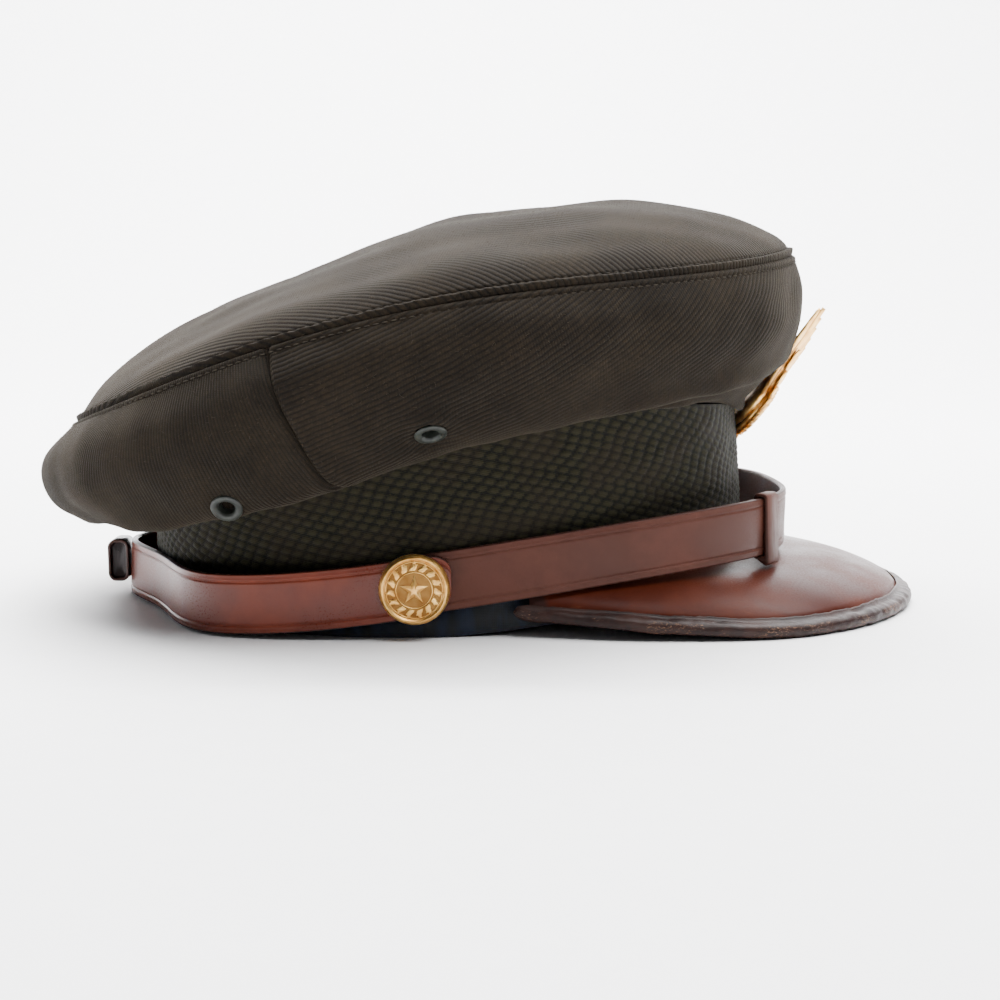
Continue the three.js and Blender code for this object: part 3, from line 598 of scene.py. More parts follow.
def binding_leather():
    """Dark leather whose crown and upper edge are worn through to a tan colour."""
    material, tree, shader = new_material("binding_leather", Specular_IOR_Level=0.2)
    body = body_place(tree)
    clouds = noise(tree, body, 9, 4, 0.6)
    flakes = noise(tree, flat_place(tree, 0, (0.45, 1)), 0.55, 5, 0.75, 0.6)
    patches = noise(tree, body, 12, 3, 0.5)
    wear = calc(tree, "MULTIPLY", field(tree, "wear"), spread(tree, patches, 0.3, 0.62))
    bare = spread(tree, calc(tree, "ADD", flakes, calc(tree, "MULTIPLY", wear, 0.24)), 0.7, 0.8, 0, 0.8)
    dyed = blend(tree, spread(tree, clouds, 0.35, 0.65), colour(28, 14, 12), colour(44, 25, 20))
    worn = blend(tree, bare, dyed, colour(128, 96, 74))
    tree.links.new(worn, shader.inputs["Base Color"])
    height = calc(tree, "SUBTRACT", calc(tree, "MULTIPLY", flakes, 0.7), calc(tree, "MULTIPLY", bare, 0.5))
    relief(tree, shader, height, 0.18, 0.8)
    tree.links.new(spread(tree, bare, 0, 1, 0.42, 0.75), shader.inputs["Roughness"])
    return material


def gilt(name, bright, dull, tarnish, gloss, metal):
    """Gilt brass, duller and darker in its hollows."""
    material, tree, shader = new_material(name, Metallic=metal)
    body = body_place(tree)
    clouds = noise(tree, body, 4, 4, 0.6)
    grains = noise(tree, body, 0.35, 3, 0.7)
    hollow = spread(tree, field(tree, "crest"), 0.0, 0.55, 1, 0)
    gold = blend(tree, spread(tree, clouds, 0.35, 0.68), bright, dull)
    gold = blend(tree, calc(tree, "MULTIPLY", hollow, 0.8), gold, tarnish)
    tree.links.new(gold, shader.inputs["Base Color"])
    relief(tree, shader, grains, 0.07, 0.5)
    worn = calc(tree, "ADD", clouds, calc(tree, "MULTIPLY", hollow, 0.5))
    rough = spread(tree, worn, 0.3, 1.1, gloss, gloss + 0.28)
    tree.links.new(rough, shader.inputs["Roughness"])
    return material


def painted_metal():
    """Grey-green paint over metal, chipped at the rim."""
    material, tree, shader = new_material("vent_enamel", Specular_IOR_Level=0.3)
    body = body_place(tree)
    chips = noise(tree, body, 0.9, 4, 0.7)
    clouds = noise(tree, body, 3, 3, 0.5)
    paint = blend(tree, spread(tree, clouds, 0.35, 0.65), colour(24, 27, 24), colour(40, 43, 38))
    paint = blend(tree, spread(tree, chips, 0.66, 0.72), paint, colour(70, 68, 56))
    tree.links.new(paint, shader.inputs["Base Color"])
    relief(tree, shader, chips, 0.08, 0.4)
    tree.links.new(spread(tree, chips, 0.4, 0.7, 0.34, 0.55), shader.inputs["Roughness"])
    return material


def yarn(name, dark, light):
    """Twisted wool or cotton, mottled from dark to light."""
    material, tree, shader = new_material(name, Specular_IOR_Level=0.15)
    twist = noise(tree, body_place(tree), 0.5, 3, 0.6)
    dyed = blend(tree, spread(tree, twist, 0.3, 0.7), dark, light)
    tree.links.new(dyed, shader.inputs["Base Color"])
    relief(tree, shader, twist, 0.1, 0.6)
    tree.links.new(spread(tree, twist, 0.3, 0.7, 0.7, 0.9), shader.inputs["Roughness"])
    return material


CLOTH_FINISH = twill_cloth()
BRAID_FINISH = braid_cloth()
LINING_FINISH = lining_cloth()
THREAD_FINISH = yarn("olive_thread", colour(22, 19, 15), colour(56, 50, 40))
FIBRE_FINISH = yarn("wool_fibre", colour(32, 27, 20), colour(66, 57, 43))
PEAK_FINISH = leather(
    "peak_leather", colour(52, 17, 7), colour(66, 26, 12), 0.38, 0.0, 0.7, 0.06, colour(44, 26, 23)
)
FRONT_FINISH = leather(
    "front_strap_leather", colour(64, 35, 27), colour(76, 44, 35), 0.46, 0.0, 0.9, 0.14, colour(50, 27, 21)
)
REAR_FINISH = leather(
    "rear_strap_leather", colour(88, 35, 21), colour(108, 47, 30), 0.34, 0.04, 0.9, 0.24, colour(48, 23, 17)
)
# Painted shade: the rear keeper's leather is coloured far darker than the rear strap's, for a tab that faces
# away from the light.
KEEPER_FINISH = leather(
    "keeper_leather", colour(24, 9, 9), colour(40, 16, 15), 0.34, 0.1, 0.9, 0.3, colour(70, 44, 37)
)
BINDING_FINISH = binding_leather()
BUTTON_FINISH = gilt("gilt", colour(236, 190, 112), colour(206, 152, 80), colour(104, 62, 26), 0.27, 0.95)
BADGE_FINISH = gilt(
    "worn_gilt", colour(248, 202, 126), colour(224, 170, 98), colour(128, 84, 42), 0.38, 0.85
)
VENT_FINISH = painted_metal()


# The crown: three panels of cloth, sewn at the top seam and at the side seams

EDGE_DISTANCES = [0.05, 0.3, 0.55, 0.8, 1.1, 1.4, 1.7, 2.0, 2.3, 2.55, 2.8, 3.05, 3.3, 3.7, 4.3, 5.2, 6.4]

FINE_ROWS = 300
INNER_ROWS = 30
PATTERN_RADIUS = 178
FRONT_GRAIN = math.radians(22)
REAR_GRAIN = math.radians(48)
TOP_GRAIN = math.radians(60)

# Soft folds of the side: each crest or hollow runs from one angle and level to another
SIDE_FOLDS = [
    {"from": (6, 0.50), "to": (60, 0.35), "width": 6.0, "height": 2.2},
    {"from": (22, 0.29), "to": (74, 0.17), "width": 6.5, "height": -2.6},
    {"from": (-10, 0.46), "to": (-54, 0.38), "width": 7.0, "height": 2.0},
    {"from": (-24, 0.28), "to": (-66, 0.20), "width": 6.5, "height": -2.2},
    {"from": (-24, 0.09), "to": (24, 0.09), "width": 8.0, "height": 3.6},
    {"from": (128, 0.55), "to": (176, 0.42), "width": 9.0, "height": -1.2},
    {"from": (232, 0.50), "to": (190, 0.44), "width": 8.0, "height": -1.1},
    {"from": (70, 0.78), "to": (100, 0.48), "width": 9.0, "height": 1.1},
    {"from": (20, 0.82), "to": (62, 0.70), "width": 8.0, "height": -0.9},
]


def fold_heights(angle, level):
    """How far the soft folds raise the side at each place."""
    total = np.zeros_like(level)
    for row in SIDE_FOLDS:
        start, end = np.array(row["from"], float), np.array(row["to"], float)
        span = end - start
        degrees_ = np.degrees(angle)
        along = ((degrees_ - start[0]) * span[0]) / span[0] ** 2
        middle = start[1] + span[1] * np.clip(along, 0, 1)
        across = (level - middle) * 95
        fade = np.clip(1 - np.maximum(np.abs(along - 0.5) - 0.3, 0) / 0.35, 0, 1)
        total += row["height"] * fade**2 * (3 - 2 * fade) * np.exp(-((across / row["width"]) ** 2))
    return total


def vent_places():
    """The name, the place, the outward way and the tilt of each vent."""
    rows = []
    for row in VENTS:
        for side, turn in SIDES.items():
            angle, level = np.array(turn * row["angle"]), np.array(row["level"])
            normal = outward_of(crown_side, angle, level)
            up = unit(np.array([0, 0, 1.0]) - normal[2] * normal)
            rows.append((f"vent_{side}_{row['name']}", crown_side(angle, level), normal, -row["tilt"] * up))
    return rows


def vent_puckers(points):
    """How far the cloth moves out round each vent, where the vent tips it down, and in at its hole."""
    total = 0
    for _, centre, _, down in vent_places():
        away = points - centre
        reach = np.linalg.norm(away, axis=-1)
        total = total - (away @ down) * np.exp(-((reach / 7.5) ** 4))
        total = total - VENT_PIT * (1 - np.clip((reach - 2.7) / 1.5, 0, 1))
    return total


def rows_from_seam(length, count):
    """Distances from the top seam down each column: close together at the seam, and then in equal shares."""
    near = np.array(EDGE_DISTANCES)[:, None] * np.ones_like(length)
    shares = np.linspace(0, 1, count + 1)[1:, None]
    return np.vstack([near, near[-1] + shares * (length - near[-1])])


def side_panel(name, edges, columns, rows, radius, grain, fineness, napped):
    """A part of the crown's side between edge angles; radius is the flat pattern's, grain its ribs' angle."""
    share = np.linspace(0, 1, columns)
    fine = np.linspace(0, 1, FINE_ROWS)[:, None] * np.ones(columns)

    def angles(level):
        low, high = edges(level)
        return low + (high - low) * share

    length = lengths_along(crown_side(angles(fine), fine))
    down = rows_from_seam(length[-1], rows)[::-1]
    up_from_band = length[-1] - down
    level = [np.interp(up_from_band[:, j], length[:, j], fine[:, j]) for j in range(columns)]
    level = np.stack(level, 1)
    angle = angles(level)
    base = crown_side(angle, level)
    outward = outward_of(crown_side, angle, level)
    side_length = lengths_along(base.swapaxes(0, 1)).T
    from_side = np.minimum(side_length, side_length[:, -1:] - side_length)
    waves = 0.75 * soft_noise(base, 46, 3) + 0.28 * soft_noise(base, 17, 4)
    calm = 1 - np.exp(-down / 6)
    soft = waves * calm * np.clip(level / 0.08, 0, 1) + fold_heights(angle, level) + vent_puckers(base)
    puffs = 1 + 0.35 * np.cos(2 * np.pi * side_length / STITCH_PITCH)
    seam = 0.35 * bump(down, 1.4, 0.9) * puffs - 0.3 * bump(down, 2.8, 0.35) - 1.2 * np.exp(-down / 0.7)
    seam += 0.3 * bump(from_side, 1.8, 1.1) - 1.3 * np.exp(-from_side / 0.8)
    outer = base + outward * (soft + seam)[..., None]
    mitre = seam_outward(angle)
    share_in = np.exp(-down / 5)[..., None]
    through_cloth = unit(outward * (1 - share_in) + mitre * share_in)
    inner = base + outward * soft[..., None] - through_cloth * CLOTH
    tuck = ring_point(CROWN_TUCK, angle[0])
    outer = np.concatenate([tuck[None], outer])
    inner = np.concatenate([tuck[None] + [0, 0, CLOTH], inner])
    middle = side_length[len(side_length) // 2]
    turn = (middle - middle[-1] / 2) / radius
    reach = radius - 45 + length[-1] - np.vstack([down[:1] + 2, down])
    across = reach * np.sin(turn)
    up = reach * np.cos(turn) - radius
    flat = turned_flat(np.stack([across, up], -1), grain) * fineness
    picks = np.unique(np.linspace(0, len(inner) - 1, INNER_ROWS).round().astype(int))
    rows_level = np.vstack([level[:1], level])
    nap = napped(rows_level, np.abs(turn))
    return shell(name, outer, inner[picks], flat, fields={"nap": nap}), outer[3:], outward[2:]


def front_nap(level, turn):
    """The nap on the front panel, felted low down, and higher up towards the front."""
    felted_to = 0.66 - 0.36 * np.clip((turn - 0.75) / 0.55, 0, 1)
    return 0.04 + 0.96 * np.clip((felted_to - level) / 0.2, 0, 1)


def rear_nap(level, turn):
    """The nap on the rear panel, felted towards its middle."""
    return 0.2 + 0.5 * np.clip((0.8 - turn) / 0.35, 0, 1) + 0 * level


def quarter_angle(level):
    return QUARTER_SEAM["at_band"] + (QUARTER_SEAM["at_top"] - QUARTER_SEAM["at_band"]) * level


def front_edges(level):
    edge = quarter_angle(level) - math.radians(0.03)
    return -edge, edge


def rear_edges(level):
    edge = quarter_angle(level) + math.radians(0.03)
    return edge, 2 * np.pi - edge


def top_panel(columns, rows):
    """The crown's top, with a ridge sewn down beside the seam."""
    angle, fine = grid_of(full_turn(columns), np.linspace(0, 1, FINE_ROWS))
    length = lengths_along(crown_top(angle, fine))
    inwards = rows_from_seam(length[-1], rows)
    level = np.stack([np.interp(inwards[:, j], length[:, j], fine[:, j]) for j in range(columns)], 1)
    angle = angle[:1] * np.ones((len(level), 1))
    base = crown_top(angle, level)
    outward = outward_of(crown_top, angle, level)
    outward[-1] = unit(outward[-2].mean(0))
    calm = 1 - np.exp(-inwards / 8)
    soft = (0.7 * soft_noise(base, 52, 5) + 0.25 * soft_noise(base, 19, 6)) * calm
    around = lengths_along(np.vstack([base[:1].swapaxes(0, 1), base[:1, :1]]))[:-1].T
    puffs = 1 + 0.22 * np.cos(2 * np.pi * around / STITCH_PITCH)
    seam = 0.95 * bump(inwards, 1.5, 1.05) * puffs - 0.45 * bump(inwards, 3.05, 0.45)
    seam -= np.exp(-inwards / 0.5)
    outer = base + outward * (soft + seam)[..., None]
    mitre = seam_outward(angle)
    share_in = np.exp(-inwards / 5)[..., None]
    inner = base + outward * soft[..., None] - unit(outward * (1 - share_in) + mitre * share_in) * CLOTH
    outer[-1] = outer[-1].mean(0)
    inner[-1] = inner[-1].mean(0)
    centre_distance = length[-1] - inwards
    away = unit(base[0] - CROWN_CENTRE)[..., :2]
    away /= np.linalg.norm(away, axis=-1, keepdims=True)
    flat = away[None] * centre_distance[..., None]
    turned = turned_flat(flat, TOP_GRAIN)
    picks = np.unique(np.linspace(0, len(inner) - 1, INNER_ROWS).round().astype(int))
    nap = np.clip(0.1 + (inwards - 5) / 12, 0.1, 0.95)
    made = shell("crown_top_panel", outer, inner[picks], turned, wrap=True, merge=True, fields={"nap": nap})
    return made, outer, outward


# Ranges of a fibre's length, lift and sideways bend, the last two as shares of the length
FIBRE_RANGES = [(0.5, 1.5), (0.15, 0.6), (-0.3, 0.3)]
FIBRE_RADIUS = 0.035


def stitches(name, line, outward, pitch, length, width):
    """A closed row of stitches along a line of points: each is a small long bead half sunk in the cloth."""
    joined, normals = np.vstack([line, line[:1]]), np.vstack([outward, outward[:1]])
    run = run_along(joined)
    count = int(run[-1] / pitch)
    where = (np.arange(count) + 0.5) * run[-1] / count
    centre = np.stack([np.interp(where, run, joined[:, k]) for k in range(3)], -1)
    ahead = np.stack([np.interp(where + 0.2, run, joined[:, k]) for k in range(3)], -1)
    normal = unit(np.stack([np.interp(where, run, normals[:, k]) for k in range(3)], -1))
    forward = unit(ahead - centre)
    beside = unit(np.cross(normal, forward))
    rings, around = 5, 6
    bend = np.linspace(-1, 1, rings)
    turn = full_turn(around)
    wide = np.sqrt(np.maximum(1 - (bend * 0.96) ** 2, 0))[:, None] * width / 2
    local = np.stack(
        [
            bend[:, None] * length / 2 * np.ones(around),
            wide * np.cos(turn),
            wide * np.sin(turn) - (bend[:, None] ** 2) * width * 0.3,
        ],
        -1,
    ).reshape(-1, 3)
    axes = np.stack([forward, beside, normal], 1)
    points = centre[:, None] + np.einsum("pk,nkc->npc", local, axes)
    return new_mesh(name, points.reshape(-1, 3), repeated_faces(count, rings, around))


def seam_stitches():
    """The rows of stitches above and below the top seam."""
    angle = full_turn(400)
    rows = []
    for name, surface, inwards in (("top", crown_top, 3.05), ("side", crown_side, 2.8)):
        near, far = (0.0, 0.08) if surface is crown_top else (1.0, 0.94)
        start = surface(angle, near + 0 * angle)
        end = surface(angle, far + 0 * angle)
        reach = np.linalg.norm(end - start, axis=1)
        level = near + (far - near) * inwards / reach
        line = surface(angle, level)
        outward = outward_of(surface, angle, level)
        rows.append(stitches(f"stitches_{name}", line - outward * 0.12, outward, STITCH_PITCH, 1.9, 0.5))
    return rows


def nap_fibres(name, points, normals, count, seed):
    """Loose wool fibres that stand off the cloth: fine bent tubes from random places of a panel."""
    rng = np.random.default_rng(seed)
    picks = rng.integers(0, points.shape[0] * points.shape[1], count)
    root, normal = points.reshape(-1, 3)[picks], normals.reshape(-1, 3)[picks]
    lay = unit(np.cross(normal, rng.normal(size=(count, 3))))
    beside = np.cross(normal, lay)
    length, lift, curl = (rng.uniform(low, high, (count, 1)) for low, high in FIBRE_RANGES)
    turn = np.radians([90, 210, 330])
    loops = []
    for t in (0, 0.35, 0.7, 1):
        centre = root + length * (lay * t + normal * (lift * t - 0.4 * t * t * lift) + beside * curl * t * t)
        radius = FIBRE_RADIUS * (1 - 0.5 * t)
        ways = [beside * math.cos(a) + normal * math.sin(a) for a in turn]
        loops.append(np.stack([centre + radius * way for way in ways], 1))
    loops = np.stack(loops, 1)
    faces = repeated_faces(count, loops.shape[1], len(turn))
    place(new_mesh(name, loops.reshape(-1, 3), faces), "cloth", FIBRE_FINISH)


def crown():
    front, *front_cloth = side_panel(
        "crown_front_panel", front_edges, 330, 84, PATTERN_RADIUS, FRONT_GRAIN, 1.0, front_nap
    )
    rear, *rear_cloth = side_panel(
        "crown_rear_panel", rear_edges, 250, 84, PATTERN_RADIUS, REAR_GRAIN, 1.3, rear_nap
    )
    top, *top_cloth = top_panel(420, 70)
    place(front, "cloth", CLOTH_FINISH, "crown_front")
    place(rear, "cloth", CLOTH_FINISH, "crown_rear")
    place(top, "cloth", CLOTH_FINISH, "crown_top")
    for row in seam_stitches():
        place(row, "cloth", THREAD_FINISH)
    napped = (("front", front_cloth, 3200), ("rear", rear_cloth, 2600), ("top", top_cloth, 3600))
    for name, cloth, count in napped:
        nap_fibres(f"nap_fibres_{name}", *cloth, count, count)


# The vents: turned rings with a rolled flange

VENT_PROFILE = [
    (2.6, -2.8), (3.0, -2.8), (3.0, 0.3), (4.4, 0.2), (4.8, 0.35), (4.95, 0.65), (4.75, 1.0), (4.25, 1.25),
    (3.7, 1.3), (3.2, 1.15), (2.85, 0.85), (2.66, 0.5), (2.6, 0.1),
]
VENT_PIT = 4.0


def smooth_profile(profile, steps=4):
    """A closed profile with rounded corners, several points to each given one."""
    rows = np.array(profile, float)
    t = np.arange(len(rows) * steps) / steps
    count = len(rows)
    index = np.floor(t).astype(int)
    weights = curve_weights((t - index)[:, None])
    return sum(rows[(index + step - 1) % count] * weight for step, weight in enumerate(weights))


def stood_on(points, point, normal):
    """Points given round the +Z axis, stood on a normal at a point."""
    side = unit(np.cross([0.0, 0.0, 1.0], normal))
    up = np.cross(normal, side)
    return point + points[..., :1] * side + points[..., 1:2] * up + points[..., 2:] * normal


def turned_ring(name, profile, segments, point, normal):
    """A ring turned round its own axis from a closed profile of radius and height."""
    turn = full_turn(segments)
    loops = np.stack(
        [
            profile[None, :, 0] * np.cos(turn)[:, None],
            profile[None, :, 0] * np.sin(turn)[:, None],
            np.broadcast_to(profile[None, :, 1], (segments, len(profile))),
        ],
        -1,
    )
    flat = np.zeros((segments + 1, len(profile) + 1, 2))
    flat[..., 0] = (np.arange(segments + 1) * 2 * np.pi / segments * 4)[:, None]
    flat[..., 1] = np.arange(len(profile) + 1) * 0.4
    return loft(name, stood_on(loops, point, normal), flat, closed=True)


def vents():
    for name, point, normal, down in vent_places():
        ring = turned_ring(f"{name}_ring", smooth_profile(VENT_PROFILE), 48, point, unit(normal + down))
        place(ring, "vent_enamel", VENT_FINISH, name)


# The band and the lining


def braid_height(share, run, h):
    """The braid's height at a share of the way round and a height up: 0 between its bricks, 1 on a crest."""
    brick = BRICK[0] * np.array([math.cos(BRICK[1]), math.sin(BRICK[1])])
    stack = STACK[0] * np.array([math.cos(STACK[1]), math.sin(STACK[1])])
    cell = brick[0] * stack[1] - brick[1] * stack[0]
    column = -round(run * stack[1] / cell) * share - h * stack[0] / cell
    rows = round(run * brick[1] / cell)
    row = rows * share + h * brick[0] / cell
    column = column + BRICK_STAGGER * np.sin(37 * (np.floor(row) % abs(rows)))
    across, up = column - np.floor(column), row - np.floor(row)
    crown_across = (1 - np.abs(2 * across - 1) ** 3) ** 0.7
    crown_up = (1 - np.abs(2 * up - 1) ** 2.6) ** 0.6
    return crown_across * crown_up * (0.8 + 0.2 * across)


def braid_band(columns, rows):
    angle, level = grid_of(full_turn(columns), np.linspace(0, 1, rows))
    low, high = ring_point(BAND_LOWER, angle), ring_point(BAND_UPPER, angle)
    base = low + (high - low) * level[..., None]
    outward = ring_outward(BAND_LOWER, angle)
    middle = base[rows // 2]
    run = run_along(np.vstack([middle, middle[:1]]))
    s = run[:-1][None] * np.ones((rows, 1))
    h = lengths_along(base)
    wander = 0.25 * soft_noise(base, 24, 8)
    crest = braid_height((s + wander) / run[-1], run[-1], h + 0.6 * wander)
    uneven = 1 + 0.25 * soft_noise(base, 9, 9)
    swell = 0.3 * soft_noise(base, 40, 10)
    calm = np.minimum(1, np.minimum(level, 1 - level) / 0.03)
    outer = base + outward * ((crest * 0.7 * uneven - 0.4 + swell) * calm)[..., None]
    inner = base[[0, rows // 2, rows - 1]] - outward[[0, rows // 2, rows - 1]] * BAND
    flat = np.stack([s, h], -1)
    period = (run[-1], 0)
    made = shell("braid_band", outer, inner, flat, wrap=True, period=period, fields={"crest": crest})
    return place(made, "braid", BRAID_FINISH, "band")


def hem_flare(angle):
    """How far the lining's hem flares out under the band."""
    middle = (LINING_HEM["from"] + LINING_HEM["to"]) / 2
    half = (LINING_HEM["to"] - LINING_HEM["from"]) / 2
    wrapped = np.abs(np.arctan2(np.sin(angle), np.cos(angle)))
    off = np.minimum(np.abs(wrapped - middle) / half, 1)
    return LINING_HEM["flare"] * np.cos(off * np.pi / 2) ** 2


def lining(columns, rows):
    angle, share = grid_of(full_turn(columns), np.linspace(0, 1, rows) ** 1.8)
    band_low = even_curve(BAND_LOWER["z"], angle)
    band_high = even_curve(BAND_UPPER["z"], angle)
    low = np.maximum(0, even_curve(LINING_HEM["z"], angle))
    z = low + share * (band_low + LINING_RISE - low)
    level = np.maximum(0, z - band_low) / (band_high - band_low)
    lower, upper = ring_point(BAND_LOWER, angle), ring_point(BAND_UPPER, angle)
    base = lower + (upper - lower) * level[..., None]
    base[..., 2] = z
    outward = ring_outward(BAND_LOWER, angle)
    under = np.clip((band_low - 0.6 - z) / np.maximum(band_low - 0.6 - low, 0.5), 0, 1)
    flare = hem_flare(angle)
    ripple = 0.35 * soft_noise(base, 15, 12) * under * np.minimum(flare, 1)
    out = -BAND - GAP + flare * under**0.8 * (1 - 0.25 * under) + ripple
    outer = base + outward * out[..., None]
    inner = outer - outward * LINING
    flat = np.stack([angle * BAND_RADIUS, z], -1)
    period = (2 * np.pi * BAND_RADIUS, 0)
    made = shell("lining_band", outer, inner[:: max(1, rows // 12)], flat, wrap=True, period=period)
    return place(made, "lining", LINING_FINISH, "sweatband")


# The peak and its binding


def outline_point(share):
    points = [np.broadcast_to(np.array([x, -y, z], float), (*share.shape, 3)) for x, y, z in PEAK_OUTLINE]
    mirrored = points[1] * np.array([1, -1, 1])
    after = 2 * points[-1] - points[-2]
    point = through(points, np.abs(share) * (len(points) - 1), mirrored, after)
    flip = np.where(share < 0, -1, 1)
    return point * np.stack([np.ones_like(share), flip, np.ones_like(share)], -1)


def peak_top(share, level):
    """The peak's upper face, from level 0 at the band to level 1 at its outline."""
    angle = share * PEAK_HALF_ANGLE
    root = ring_point(BAND_LOWER, angle) + ring_outward(BAND_LOWER, angle) * GAP
    root[..., 2] += PEAK_SEAT
    edge = outline_point(share)

    def arch(t):
        return 2.6 * t * np.sqrt(np.maximum(1 - t, 0))

    last = arch(np.array(PEAK_STRAIGHT_FROM)) * (1 - level) / (1 - PEAK_STRAIGHT_FROM)
    arched = np.where(level > PEAK_STRAIGHT_FROM, last, arch(level))
    rise = PEAK_BULGE * (0.35 + 0.65 * (1 - share**2)) * arched
    point = root + (edge - root) * level[..., None]
    point[..., 2] += rise
    return point


def peak(columns, rows):
    share, level = grid_of(np.linspace(-1, 1, columns), np.linspace(0, 1, rows))
    base = peak_top(share, level)
    fade = np.sin(np.pi * np.clip(level, 0, 1)) * (1 - share**4)
    base[..., 2] += 0.16 * soft_noise(base, 34, 14) * fade
    inner = base - np.array([0, 0, PEAK])
    flat = np.stack([base[..., 1], base[..., 0]], -1)
    ends = np.clip((np.abs(share) - 0.965) / 0.02, 0, 1)
    made = shell("peak_leather_shell", base, inner[:: max(1, rows // 14)], flat, fields={"edge": ends})
    return place(made, "peak_leather", PEAK_FINISH, "peak")


def beside_edge(share, reach):
    """A point beside the peak's edge: out for a reach, or back along the upper face by a share of its rim."""
    edge = outline_point(share)
    back = edge + (peak_top(share, np.full_like(share, PEAK_STRAIGHT_FROM)) - edge) * -reach
    step = 1e-3
    along = outline_point(np.minimum(share + step, 1)) - outline_point(np.maximum(share - step, -1))
    size = np.linalg.norm(along, axis=-1)
    out = unit(np.stack([-along[..., 1], along[..., 0], -0.08 * size], -1))
    return edge + out * reach if reach > 0 else back


def peak_binding(stations):
    reach, leather_, overlap = BINDING["reach"], BINDING["leather"], BINDING["overlap"]
    top = GAP + leather_
    slot = (GAP, -PEAK - GAP)
    foot = slot[1] - leather_
    middle, half = (top + foot) / 2, (top - foot) / 2
    section = [(-overlap, slot[0] + 0.25, 1.0), (-overlap * 0.96, top - 0.25, 1.0)]
    section += [(-overlap * 0.8, top - 0.02, 0.9), (-overlap * 0.5, top + 0.05, 0.3), (0.0, top + 0.04, 0.2)]
    for turn in np.linspace(math.radians(78), math.radians(-90), 14):
        u = reach * max(math.cos(turn), 0) ** 0.75
        v = middle + half * math.copysign(abs(math.sin(turn)) ** 0.85, math.sin(turn))
        section.append((max(u, 0.01), v, 0.75 if abs(turn) < 0.9 else 0.35))
    section += [(-overlap * 0.6, foot, 0.1), (-overlap, foot + 0.2, 0.1), (-overlap, slot[1], 0.1)]
    section += [(0.3, slot[1], 0), (0.3, slot[0], 0)]
    run_on = 1 + BINDING["tip"]
    asked = np.linspace(-run_on, run_on, stations)
    share = np.clip(asked, -1, 1)
    beyond = asked - share
    slim = np.clip((np.abs(share) - 0.86) / 0.14, 0, 1) ** 1.5
    ends = unit(outline_point(share) - outline_point(share * 0.99))
    tip = np.sqrt(np.maximum(1 - (np.abs(beyond) / BINDING["tip"]) ** 2, 0.002))
    loops = []
    for u, v, _ in section:
        out = np.where(u > 0, u * (1 - 0.72 * slim), u)
        height = v + (middle - v) * 0.3 * slim * (u > 0.5)
        near, far = beside_edge(share, 0.0), beside_edge(share, 1.0)
        point = near + (far - near) * out[:, None] if u > 0 else beside_edge(share, u)
        loops.append(point + np.array([0, 0, 1.0]) * height[:, None])
    loops = np.stack(loops, 1)
    centre = loops.mean(1, keepdims=True)
    run_past = ends * np.abs(beyond)[:, None] * BINDING["run"]
    loops = centre + (loops - centre) * tip[:, None, None] + run_past[:, None]
    outward = unit(loops - loops.mean(1, keepdims=True))
    dents = 0.16 * soft_noise(loops, 7, 21) + 0.1 * soft_noise(loops, 2.6, 22)
    shown = np.array([1.0 if 1 <= k <= 18 else 0.0 for k in range(len(section))])
    loops = loops + outward * (dents * shown)[..., None]
    around = np.append(run_along(loops[stations // 2]), 18)
    flat = np.stack(np.meshgrid(run_along(loops[:, 8]), around, indexing="ij"), -1)
    wear = np.array([w for *_, w in section])[None] * np.ones((stations, 1))
    made = loft("binding_roll", loops, flat, fields={"wear": wear})
    return place(made, "binding_leather", BINDING_FINISH, "peak_binding")


# The straps, their keepers and the buttons


def strap_section():
    """Rows of out, up and edge: two layers of leather with a tooled line inside each edge."""
    stretches = ((0.5, 3.6, 15), (4.4, 14.6, 9), (15.4, 18.5, 15))
    face = np.concatenate([np.linspace(*stretch) for stretch in stretches])
    rows = [(-0.95, 0.22, 1), (-0.75, 0.02, 1), (-0.35, 0.04, 1), (-0.1, 0.22, 0.8)]
    for up in face:
        near = min(up, STRAP_HEIGHT - up)
        line = -0.3 * math.exp(-(((near - 2.6) / 0.3) ** 2)) + 0.1 * math.exp(-(((near - 1.9) / 0.5) ** 2))
        rows.append((line + 0.12 * (1 - (2 * up / STRAP_HEIGHT - 1) ** 2), up, 0.3 if near < 0.8 else 0))
    top = STRAP_HEIGHT
    rows += [(-0.1, top - 0.22, 0.8), (-0.35, top - 0.04, 1), (-0.75, top - 0.02, 1), (-0.95, top - 0.22, 1)]
    rows += [(-1.1, top - 0.02, 1), (-1.6, top - 0.03, 1), (-1.95, top - 0.3, 0.6), (-2.0, top - 1, 0.1)]
    rows += [(-2.0, top * 0.5, 0), (-2.0, 1, 0.1), (-1.95, 0.3, 0.6), (-1.6, 0.03, 1), (-1.1, 0.02, 1)]
    return np.array(rows)


